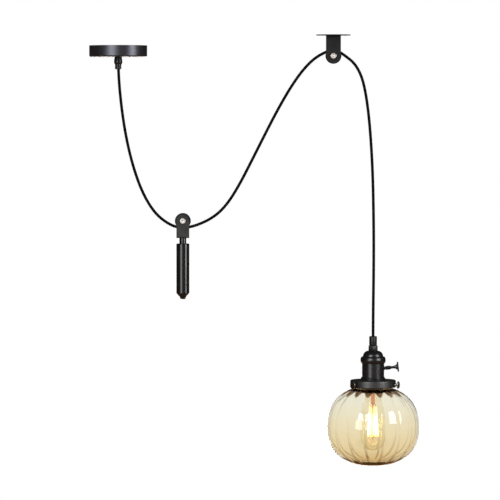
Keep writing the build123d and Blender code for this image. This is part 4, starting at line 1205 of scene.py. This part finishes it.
@dataclass
class Counterweight:
    """Weight on its fork and wheel, hung in the loop of the cord."""

    dresser: Dresser
    neck_radius: float = 6.0
    neck_bore: float = 3.2
    bar_radius: float = 11.2
    top_chamfer: float = 0.8
    foot_radius: float = 7.2
    foot_height: float = 4.9
    stud_bore: float = 3.05
    stud_depth: float = 14.0
    tip_depth: float = 9.0
    tip_radius: float = 6.3
    tip_end: float = 3.8
    tip_round: float = 1.2
    tip_inset: float = 0.5

    def build(self) -> None:
        """Build the weight's pieces in order."""
        self.dresser.soften(Body.WEIGHT, Slot.GREY, "weight_fork", width=0.35)
        self.dresser.soften(Body.WEIGHT, Slot.BRIGHT, "weight_axle_nut", width=0.2)
        self.dresser.soften(Body.WEIGHT, Slot.ZINC, "weight_bolt", width=0.2)
        AxlePin(self.dresser, "weight_axle", Body.WEIGHT).build()
        GroovedWheel(self.dresser, "weight_sheave", Body.WEIGHT_PULLEY).build()
        self.build_neck()
        self.build_bar()
        self.build_tip()

    def turn(self, node: str, rings: Sequence[Ring], steps: int, rounding: Rounding) -> None:
        """Turn one piece of the weight and dress it on its solid's axis.

        Args:
            node: Solid that it replaces.
            rings: Outline as (radius, height) pairs.
            steps: Number of points round each ring.
            rounding: Rounding of its edges.
        """
        dress = Dress(Body.WEIGHT, Slot.BLACK, rounding, flats=True, finish=WEIGHT_ENAMEL)
        self.dresser.dress(turned(f"{node}_dressed", rings, steps), node, dress, axis_of(node))

    def build_neck(self) -> None:
        """Turn the neck between the fork and the bar."""
        low, top = reach_of("weight_neck")
        rings = [(self.neck_bore, top), (self.neck_radius, top), (self.neck_radius, low),
                 (self.neck_bore, low), (self.neck_bore, top)]
        self.turn("weight_neck", rings, steps=64, rounding=Rounding(0.5, 3))

    def build_bar(self) -> None:
        """Turn the heavy bar with its chamfered top and coned foot."""
        foot, top = reach_of("weight_bar")
        rings = [(0, top - self.stud_depth), (self.stud_bore, top - self.stud_depth), (self.stud_bore, top),
                 (self.bar_radius - self.top_chamfer, top), (self.bar_radius, top - self.top_chamfer),
                 (self.bar_radius, foot + self.foot_height), (self.foot_radius, foot), (self.stud_bore, foot),
                 (self.stud_bore, foot + self.tip_depth), (0, foot + self.tip_depth)]
        self.turn("weight_bar", rings, steps=96, rounding=Rounding(0.35, limit=30))

    def build_tip(self) -> None:
        """Turn the screwed tip under the bar."""
        low, stub_top = reach_of("weight_tip")
        foot = reach_of("weight_bar")[0]
        stub = self.stud_bore - THREAD_GAP
        slope = math.degrees(math.atan2(foot - low, self.tip_radius - self.tip_end))
        nose = (self.tip_end - self.tip_inset, low + self.tip_round)
        rings = [(0, low)] + arc(nose, self.tip_round, -90, slope - 90, 5)
        rings += [(self.tip_radius, foot), (stub, foot), (stub, stub_top), (0, stub_top)]
        self.turn("weight_tip", rings, steps=64, rounding=Rounding(0.25, limit=50))


@dataclass
class Lampholder:
    """Switched lampholder: cord grip, domed cap with its bead, shell, collar and turn key."""

    dresser: Dresser
    grip_radius: float = 6.7
    grip_chamfer: float = 1.0
    grip_spigot: float = 4.95
    cord_hole: float = 2.65
    nut_size: float = 15.7
    nut_face_inset: float = 1.8
    nut_chamfer_drop: float = 1.2
    nut_height: float = 8.7
    nut_bore: float = 5.0
    stub_radius: float = 5.0
    cap_wall: float = 0.9
    cap_hole: float = 5.2
    dome_top: float = 7.5
    dome_base: float = 17.6
    dome_height: float = 10.4
    bead_top: float = 20.3
    bead_radius: float = 21.9
    bead_foot: float = 20.25
    bead_edge: float = 0.4
    groove_shape: tuple[Ring, ...] = ((0.0, 0.5), (-0.35, 0.2), (0.0, 0.0))
    shell_radius: float = 19.2
    shell_wall: float = 0.7
    shell_lip: float = 1.4
    shell_edge: float = 0.5
    key_hole: float = 3.6
    key_tilt: float = 6.0
    key_level: float = -560.418
    collar_bore: float = 19.4
    collar_radius: float = 21.8
    collar_top: float = 20.2
    collar_land: float = 1.6
    collar_hollow: float = -0.15

    def build(self) -> None:
        """Build the lampholder's pieces in order."""
        self.build_grip_cap()
        self.build_grip_nut()
        self.build_cap()
        self.build_shell()
        self.build_collar()
        self.dresser.soften(Body.LAMP, Slot.BLACK, "key_bush", width=0.15)
        self.dresser.soften(Body.KEY, Slot.BLACK, "switch_key", width=0.2)

    def dress(self, piece: Piece, node: str, slot: Slot, rounding: Rounding | None = None) -> None:
        """Dress a turned piece on the lamp's axis.

        Args:
            piece: Piece turned about the origin.
            node: Solid that it replaces.
            slot: Slot that its finish comes from.
            rounding: Rounding of its edges, or None.
        """
        self.dresser.dress(piece, node, Dress(Body.LAMP, slot, rounding), axis_of("socket_shell"))

    def build_grip_cap(self) -> None:
        """Turn the round cap of the cord grip."""
        low, top = reach_of("lamp_grip_cap")
        foot = reach_of("lamp_grip_body")[1]
        rings = [(self.cord_hole, top), (self.grip_radius - self.grip_chamfer, top),
                 (self.grip_radius, top - self.grip_chamfer), (self.grip_radius, foot),
                 (self.grip_spigot, foot), (self.grip_spigot, low), (self.cord_hole, low),
                 (self.cord_hole, top)]
        cap = turned("lamp_grip_cap_dressed", rings, steps=64)
        self.dress(cap, "lamp_grip_cap", Slot.PLASTIC, Rounding(0.3, 3, 30))

    def build_grip_nut(self) -> None:
        """Make the hexagon of the cord grip with its turned chamfers and its stub."""
        low, top = reach_of("lamp_grip_body")
        foot = top - self.nut_height
        flat = self.nut_size / 2
        corner = flat / math.cos(math.radians(30))
        face, drop = flat - self.nut_face_inset, self.nut_chamfer_drop
        step = foot + CUT_OVER
        nut = turned("lamp_grip_body_dressed", [(0, foot), (corner, foot), (corner, top), (0, top)], steps=6)
        chamfers = [(0, foot - CUT_OVER), (face, foot - CUT_OVER), (corner, foot + drop),
                    (corner, top - drop), (face, top + CUT_OVER), (0, top + CUT_OVER)]
        carve(nut, turned("chamfers", chamfers, steps=64), Cut.KEEP_INSIDE)
        stub = [(0, low), (self.stub_radius, low), (self.stub_radius, step), (0, step)]
        carve(nut, turned("stub", stub, steps=48), Cut.JOIN)
        bore = [(0, low - CUT_OVER), (self.cord_hole, low - CUT_OVER), (self.cord_hole, foot),
                (self.nut_bore, step), (self.nut_bore, top + CUT_OVER), (0, top + CUT_OVER)]
        carve(nut, turned("bore", bore, steps=48))
        self.dress(nut, "lamp_grip_body", Slot.PLASTIC, Rounding(0.25))

    def build_cap(self) -> None:
        """Turn the domed cap with its bead and the groove over it."""
        low, top = reach_of("socket_cap")
        knee = top - self.dome_height
        sweep = self.dome_base - self.dome_top
        dome = (self.dome_top, top - sweep)
        bulge = self.bead_radius - (self.bead_top + self.bead_foot) / 2
        wall = self.cap_wall
        rings = [(self.cap_hole, top)]
        rings += arc(dome, sweep, 90, 0, 14)
        rings += beside((self.dome_base, knee), self.groove_shape)
        rings += [(self.bead_top - self.bead_edge, knee)]
        rings += bow((self.bead_top, knee - self.bead_edge), (self.bead_foot, low), bulge, 15)
        rings += [(self.bead_foot - wall, low), (self.bead_radius - wall, (knee + low) / 2),
                  (self.bead_top - wall, knee - wall), (self.dome_base - wall, knee - wall)]
        rings += arc(dome, sweep - wall, 0, 90, 8)
        rings += [(self.cap_hole, top - wall), (self.cap_hole, top)]
        self.dress(turned("socket_cap_dressed", rings, steps=96), "socket_cap", Slot.BLACK)

    def build_shell(self) -> None:
        """Turn the shell with its lip and bore the key's hole."""
        low, top = reach_of("socket_shell")
        bore = self.shell_radius - self.shell_wall
        lip, floor = bore - self.shell_lip, low + self.shell_wall
        rings = [(self.shell_radius, top), (self.shell_radius, low + self.shell_edge),
                 (self.shell_radius - self.shell_edge, low), (lip, low), (lip, floor), (bore, floor),
                 (bore, top), (self.shell_radius, top)]
        shell = turned("socket_shell_dressed", rings, steps=96)
        tilt = math.radians(self.key_tilt)
        drill(shell, self.key_hole, (0, 2 * self.shell_radius), (0, 0, self.key_level),
              (math.cos(tilt), 0, math.sin(tilt)))
        self.dress(shell, "socket_shell", Slot.BLACK)

    def build_collar(self) -> None:
        """Turn the coned collar over the carrier."""
        low, top = reach_of("shade_collar")
        shoulder = (self.collar_radius, low + self.collar_land)
        rings = [(self.collar_bore, low), (self.collar_radius, low)]
        rings += bow(shoulder, (self.collar_top, top), self.collar_hollow, 6)
        rings += [(self.collar_bore, top), (self.collar_bore, low)]
        collar = turned("shade_collar_dressed", rings, steps=96)
        self.dress(collar, "shade_collar", Slot.BLACK, Rounding(0.2))


@dataclass
class ShadeCarrier:
    """Cup that carries the shade, with its three thumbscrews."""

    dresser: Dresser
    radius: float = 39.6
    wall: float = 1.2
    edge: float = 2.6
    foot_edges: Ring = (0.4, 0.2)
    neck_hole: float = 19.4
    screw_hole: float = 2.05
    screw_reach: float = 6.0
    screw_height: float = -586.4
    screw_angles: tuple[float, ...] = (219.0, 339.0, 99.0)

    def build(self) -> None:
        """Build the carrier's pieces in order."""
        self.build_cup()
        self.dresser.soften(Body.LAMP, Slot.ZINC, "carrier_bosses", "shade_ring_nut", width=0.2)
        for place in ("left", "right", "back"):
            body = Body(f"thumb_{place}")
            self.dresser.soften(body, Slot.BLACK, f"thumbscrew_{place}", width=0.15, finish=DARK_STEEL)

    def build_cup(self) -> None:
        """Turn the cup and drill its screw holes."""
        low, top = reach_of("shade_carrier")
        corner = (self.radius - self.edge, top - self.edge)
        outer, inner = self.foot_edges
        bore = self.radius - self.wall
        rings = [(self.neck_hole, top)]
        rings += arc(corner, self.edge, 90, 0, 8)
        rings += [(self.radius, low + outer), (self.radius - outer, low), (bore + inner, low),
                  (bore, low + inner)]
        rings += arc(corner, self.edge - self.wall, 0, 90, 6)
        rings += [(self.neck_hole, top - self.wall), (self.neck_hole, top)]
        cup = turned("shade_carrier_dressed", rings, steps=120)
        ends = (self.radius - self.screw_reach, self.radius + self.screw_reach)
        for angle in map(math.radians, self.screw_angles):
            way = (math.cos(angle), math.sin(angle), 0)
            drill(cup, self.screw_hole, ends, (0, 0, self.screw_height), way, steps=32)
        dress = Dress(Body.LAMP, Slot.BLACK, finish=CARRIER_ENAMEL)
        self.dresser.dress(cup, "shade_carrier", dress, axis_of("socket_shell"))


@dataclass
class GlassShade:
    """Fluted bowl of amber glass with a plain neck and lip."""

    dresser: Dresser
    radius: float = 80.0
    upper: float = 72.3
    lower: float = 66.3
    power: float = 2.33
    wall: float = 1.9
    foot_wall: float = 3.6
    foot_power: float = 4.0
    lobes: int = 16
    lobe_depth: float = 0.044
    lobe_power: float = 2.4
    lobe_steps: int = 16
    waist_share: float = 0.17
    neck_share: float = 1.9
    share_power: float = 2.4
    neck_radius: float = 32.7
    neck_bore: float = 29.5
    bore_edge: float = 0.8
    lip_radius: float = 35.0
    lip_height: float = 3.4
    lip_edge: float = 1.0
    shoulder: float = 4.26
    under_lip: tuple[Ring, ...] = ((0.6, -0.3), (0.0, -1.2))
    neck_foot: tuple[Ring, ...] = ((0.0, 2.2), (0.7, 0.9), (2.2, 0.2))
    throat: tuple[Ring, ...] = ((1.5, 1.0), (0.0, 3.2))
    outer_steps: tuple[int, int] = (26, 44)
    inner_steps: tuple[int, int] = (40, 24)
    plain_pole: float = 1.0
    plain_neck: float = 0.1
    middle: float = field(init=False)

    def __post_init__(self) -> None:
        """Work out the height of the widest level."""
        self.middle = reach_of("glass_shade")[0] + self.lower

    def build(self) -> None:
        """Turn the bowl, press its lobes and dress it."""
        top = reach_of("glass_shade")[1]
        share = (self.neck_radius + self.shoulder) / self.radius
        neck = math.degrees(math.acos(share ** (self.power / 2)))
        above, below = self.outer_steps
        outer_angles = [neck * (1 - step / above) for step in range(above)]
        outer_angles += [-90 * step / below for step in range(below + 1)]
        below, above = self.inner_steps
        inner_angles = [-90 + 90 * step / below for step in range(below)]
        inner_angles += [neck * step / above for step in range(above)]
        outer = [self.outline(angle, 0.0, 0.0) for angle in outer_angles]
        inner = [self.outline(angle, self.wall, self.foot_wall - self.wall) for angle in inner_angles]
        lip_low, neck_low = top - self.lip_height, outer[0][1]
        lip, edge = self.lip_radius, self.lip_edge
        rings = [(self.neck_bore, top - self.bore_edge), (self.neck_bore + self.bore_edge, top),
                 (lip - edge, top), (lip, top - edge), (lip, lip_low + edge), (lip - edge, lip_low)]
        rings += beside((self.neck_radius, lip_low), self.under_lip)
        rings += beside((self.neck_radius, neck_low), self.neck_foot)
        rings += outer + inner
        rings += beside((self.neck_bore, inner[-1][1]), self.throat) + rings[:1]
        shade = turned("glass_shade_dressed", rings, self.lobes * self.lobe_steps)
        self.press_lobes(shade, neck_low)
        dress = Dress(Body.LAMP, Slot.AMBER, angle=40)
        self.dresser.dress(shade, "glass_shade", dress, axis_of("socket_shell"))

    def outline(self, angle: float, shrink: float, thicken: float) -> Ring:
        """Give the radius and height of the bowl's outline.

        Args:
            angle: Angle in degrees from the widest level, down when negative.
            shrink: Distance inside the outer face.
            thicken: Further distance inside it at the foot.

        Returns:
            Radius at a lobe's crest, and height.
        """
        turn = math.radians(abs(angle))
        power = 2 / self.power
        radius = (self.radius - shrink) * math.cos(turn) ** power if abs(angle) < 90 else 0.0
        rise = self.upper if angle > 0 else self.lower
        rise -= shrink + (thicken * math.sin(turn) ** self.foot_power if angle < 0 else 0.0)
        height = rise * math.sin(turn) ** power
        return radius, self.middle + (height if angle > 0 else -height)

    def press_lobes(self, shade: Piece, neck_low: float) -> None:
        """Give every level of the bowl its row of arcs, with the middle of one to the front.

        Args:
            shade: Bowl, turned about the origin.
            neck_low: Height where the neck meets the bowl.
        """
        half = math.pi / self.lobes
        front = -math.pi / 2
        for vertex in shade.data.vertices:
            x, y, z = vertex.co / MM
            if math.hypot(x, y) < self.plain_pole or z > neck_low + self.plain_neck:
                continue
            off = abs((math.atan2(y, x) - front + half) % (2 * half) - half)
            reach = 1 - self.lobe_depth * self.strength(z) * (off / half) ** self.lobe_power
            vertex.co.x *= reach
            vertex.co.y *= reach

    def strength(self, height: float) -> float:
        """Give how far the lobes stand out, which is least at the widest level.

        Args:
            height: Height on the bowl.

        Returns:
            Share of the lobes' depth.
        """
        span, most = (self.upper, self.neck_share) if height > self.middle else (self.lower, 1.0)
        share = min(1.0, abs(height - self.middle) / span)
        return self.waist_share + (most - self.waist_share) * share ** self.share_power


@dataclass
class Bulb:
    """Clear bulb with its screw base and glowing filament."""

    dresser: Dresser
    rounding: float = 0.15

    def build(self) -> None:
        """Build the bulb's pieces in order."""
        soften = self.dresser.soften
        soften(Body.BULB, Slot.CLEAR, "bulb_glass")
        soften(Body.BULB, Slot.CLEAR, "bulb_stem", finish=STEM_GLASS)
        soften(Body.BULB, Slot.BRASS, "bulb_base", "bulb_contact", width=self.rounding)
        soften(Body.BULB, Slot.CORE, "bulb_insulator", width=self.rounding)
        soften(Body.BULB, Slot.WIRE, "bulb_filament")
        soften(Body.BULB, Slot.WIRE, "bulb_supports", finish=COPPER_LEAD)


@dataclass(frozen=True)
class SoftLight:
    """Upright soft light that stands beside the lamp, with its face's sizes and brightness."""

    name: str
    azimuth: float
    width: float
    low: float
    high: float
    brightness: float
    distance: float = 1500.0
    centre_x: float = 227.7

    def build(self) -> None:
        """Stand the light at its angle from the camera's side, facing the lamp."""
        clear_selection()
        turn = math.radians(self.azimuth)
        way = Vector((math.sin(turn), -math.cos(turn), 0))
        place = Vector((self.centre_x, 0, (self.low + self.high) / 2)) * MM + way * self.distance * MM
        bpy.ops.object.light_add(type="AREA", location=place)
        light = bpy.context.object
        light.name = self.name
        light.data.shape = "RECTANGLE"
        light.data.size = self.width * MM
        light.data.size_y = (self.high - self.low) * MM
        light.data.energy = self.brightness * math.pi * light.data.size * light.data.size_y
        light.rotation_euler = (-way).to_track_quat("-Z", "Y").to_euler()
        light.visible_camera = False
        light.visible_transmission = False


@dataclass
class Studio:
    """White studio: world, floor, soft lights and the camera."""

    aim: Place = (227.7, 0.0, -353.6)
    eye: Place = (227.7, -6850.0, -115.0)
    lens: float = 285.2
    sensor: float = 36.0
    sight: float = 50.0
    floor_height: float = -1250.0
    floor_size: float = 3600.0
    floor_cuts: int = 8
    floor_fade: Ring = (0.55, 0.98)
    floor_colour: Colour = (0.86, 0.86, 0.85)
    floor_roughness: float = 0.9
    ambient: float = 0.3
    front_gloss: float = 0.32
    side_gloss: float = 0.03
    back_gloss: float = 0.02
    gloss_stops: tuple[float, ...] = (0.0, 0.02, 0.1, 0.9, 0.975)
    low_gloss: Colour = (0.30, 0.13, 0.03)
    low_fall: Ring = (-0.04, -0.3)
    lights: tuple[SoftLight, ...] = (
        SoftLight("left_softbox", -30.0, 1400.0, -850.0, 250.0, 7.0, 3000.0),
        SoftLight("left_window", -25.0, 1150.0, 250.0, 1500.0, 15.0, 3000.0),
        SoftLight("right_softbox", 56.0, 620.0, -520.0, 330.0, 12.0),
        SoftLight("back_softbox", 180.0, 1000.0, -1240.0, -660.0, 6.0, 3000.0),
        SoftLight("shade_back_card", 180.0, 420.0, -770.0, -612.0, 1.0, 320.0, 440.8),
    )

    def build(self) -> None:
        """Set up the studio."""
        scene = bpy.context.scene
        scene.view_settings.view_transform = "Standard"
        self.build_world(scene)
        self.build_floor()
        for light in self.lights:
            light.build()
        self.build_camera(scene)

    def build_world(self, scene: bpy.types.Scene) -> None:
        """Make the world white to the camera and through glass, and darker to reflections.

        Args:
            scene: Scene that gets the world.
        """
        sheet = WorldSheet("white_studio")
        scene.world = sheet.world
        _, depth, height = sheet.split(sheet.add("ShaderNodeTexCoord").outputs["Generated"])
        levels = (self.front_gloss, self.front_gloss, self.side_gloss, self.side_gloss, self.back_gloss)
        stops = [(place, (level,) * 3) for place, level in zip(self.gloss_stops, levels)]
        level_gloss = sheet.blend(sheet.share(depth, (-1.0, 1.0)), stops)
        fall = sheet.share(height, self.low_fall, Fade.SOFT)
        white, soft, gloss = (sheet.add("ShaderNodeBackground", inputs).outputs[0] for inputs in (
            {"Color": (*WHITE, 1.0)},
            {"Color": (*WHITE, 1.0), "Strength": self.ambient},
            {"Color": sheet.mix(fall, level_gloss, self.low_gloss)}))
        rays = sheet.add("ShaderNodeLightPath").outputs
        seen = sheet.maths("MAXIMUM", rays["Is Camera Ray"], rays["Is Transmission Ray"])
        unseen = sheet.add("ShaderNodeMixShader", {0: rays["Is Glossy Ray"], 1: soft, 2: gloss})
        whole = sheet.add("ShaderNodeMixShader", {0: seen, 1: unseen.outputs[0], 2: white})
        sheet.add("ShaderNodeOutputWorld", {"Surface": whole.outputs[0]})

    def build_floor(self) -> None:
        """Lay the pale floor far under the lamp, fading out at its edge and clear from below."""
        clear_selection()
        bpy.ops.mesh.primitive_plane_add(size=self.floor_size * MM,
                                         location=(self.aim[0] * MM, 0, self.floor_height * MM))
        floor = bpy.context.object
        floor.name = "studio_floor"
        bpy.ops.object.mode_set(mode="EDIT")
        bpy.ops.mesh.subdivide(number_cuts=self.floor_cuts)
        bpy.ops.object.mode_set(mode="OBJECT")
        bpy.ops.object.transform_apply(location=True, rotation=True, scale=True)
        sheet = NodeSheet("pale_floor")
        where = sheet.place(shift=(-self.aim[0] * MM, 0, -self.floor_height * MM))
        reach = sheet.add("ShaderNodeVectorMath", {0: where}, operation="LENGTH").outputs["Value"]
        near, far = (share * self.floor_size / 2 * MM for share in self.floor_fade)
        behind = sheet.add("ShaderNodeNewGeometry").outputs["Backfacing"]
        rays = sheet.add("ShaderNodeLightPath").outputs
        hidden = sheet.share(reach, (near, far))
        for cause in (behind, rays["Is Transmission Ray"], rays["Is Glossy Ray"]):
            hidden = sheet.maths("MAXIMUM", hidden, cause)
        sheet.set({"Base Color": (*self.floor_colour, 1.0), "Roughness": self.floor_roughness})
        clear = sheet.add("ShaderNodeBsdfTransparent").outputs[0]
        mixed = sheet.add("ShaderNodeMixShader", {0: hidden, 1: sheet.shader.outputs[0], 2: clear})
        sheet.feed(sheet.output, {"Surface": mixed.outputs[0]})
        floor.data.materials.append(sheet.material)

    def build_camera(self, scene: bpy.types.Scene) -> None:
        """Put the camera at the photograph's viewing angle.

        Args:
            scene: Scene that gets the camera.
        """
        clear_selection()
        bpy.ops.object.camera_add(location=Vector(self.eye) * MM)
        camera = bpy.context.object
        camera.name = "studio_camera"
        camera.data.lens = self.lens
        camera.data.sensor_width = self.sensor
        camera.data.clip_end = self.sight
        camera.rotation_euler = (Vector(self.aim) - Vector(self.eye)).to_track_quat("-Z", "Y").to_euler()
        scene.camera = camera


def main() -> None:
    """Build the sub-assemblies in order, then the studio."""
    logging.basicConfig(level=logging.INFO, format="%(name)s %(message)s")
    clear_selection()
    dresser = Dresser()
    for run in CORD_RUNS:
        run.build(dresser)
    for assembly in (Canopy, CeilingPulley, Counterweight, Lampholder, ShadeCarrier, GlassShade, Bulb):
        assembly(dresser).build()
        log.info("%s done", assembly.__name__)
    dresser.coat_solids()
    Studio().build()


if __name__ == "__main__":
    main()
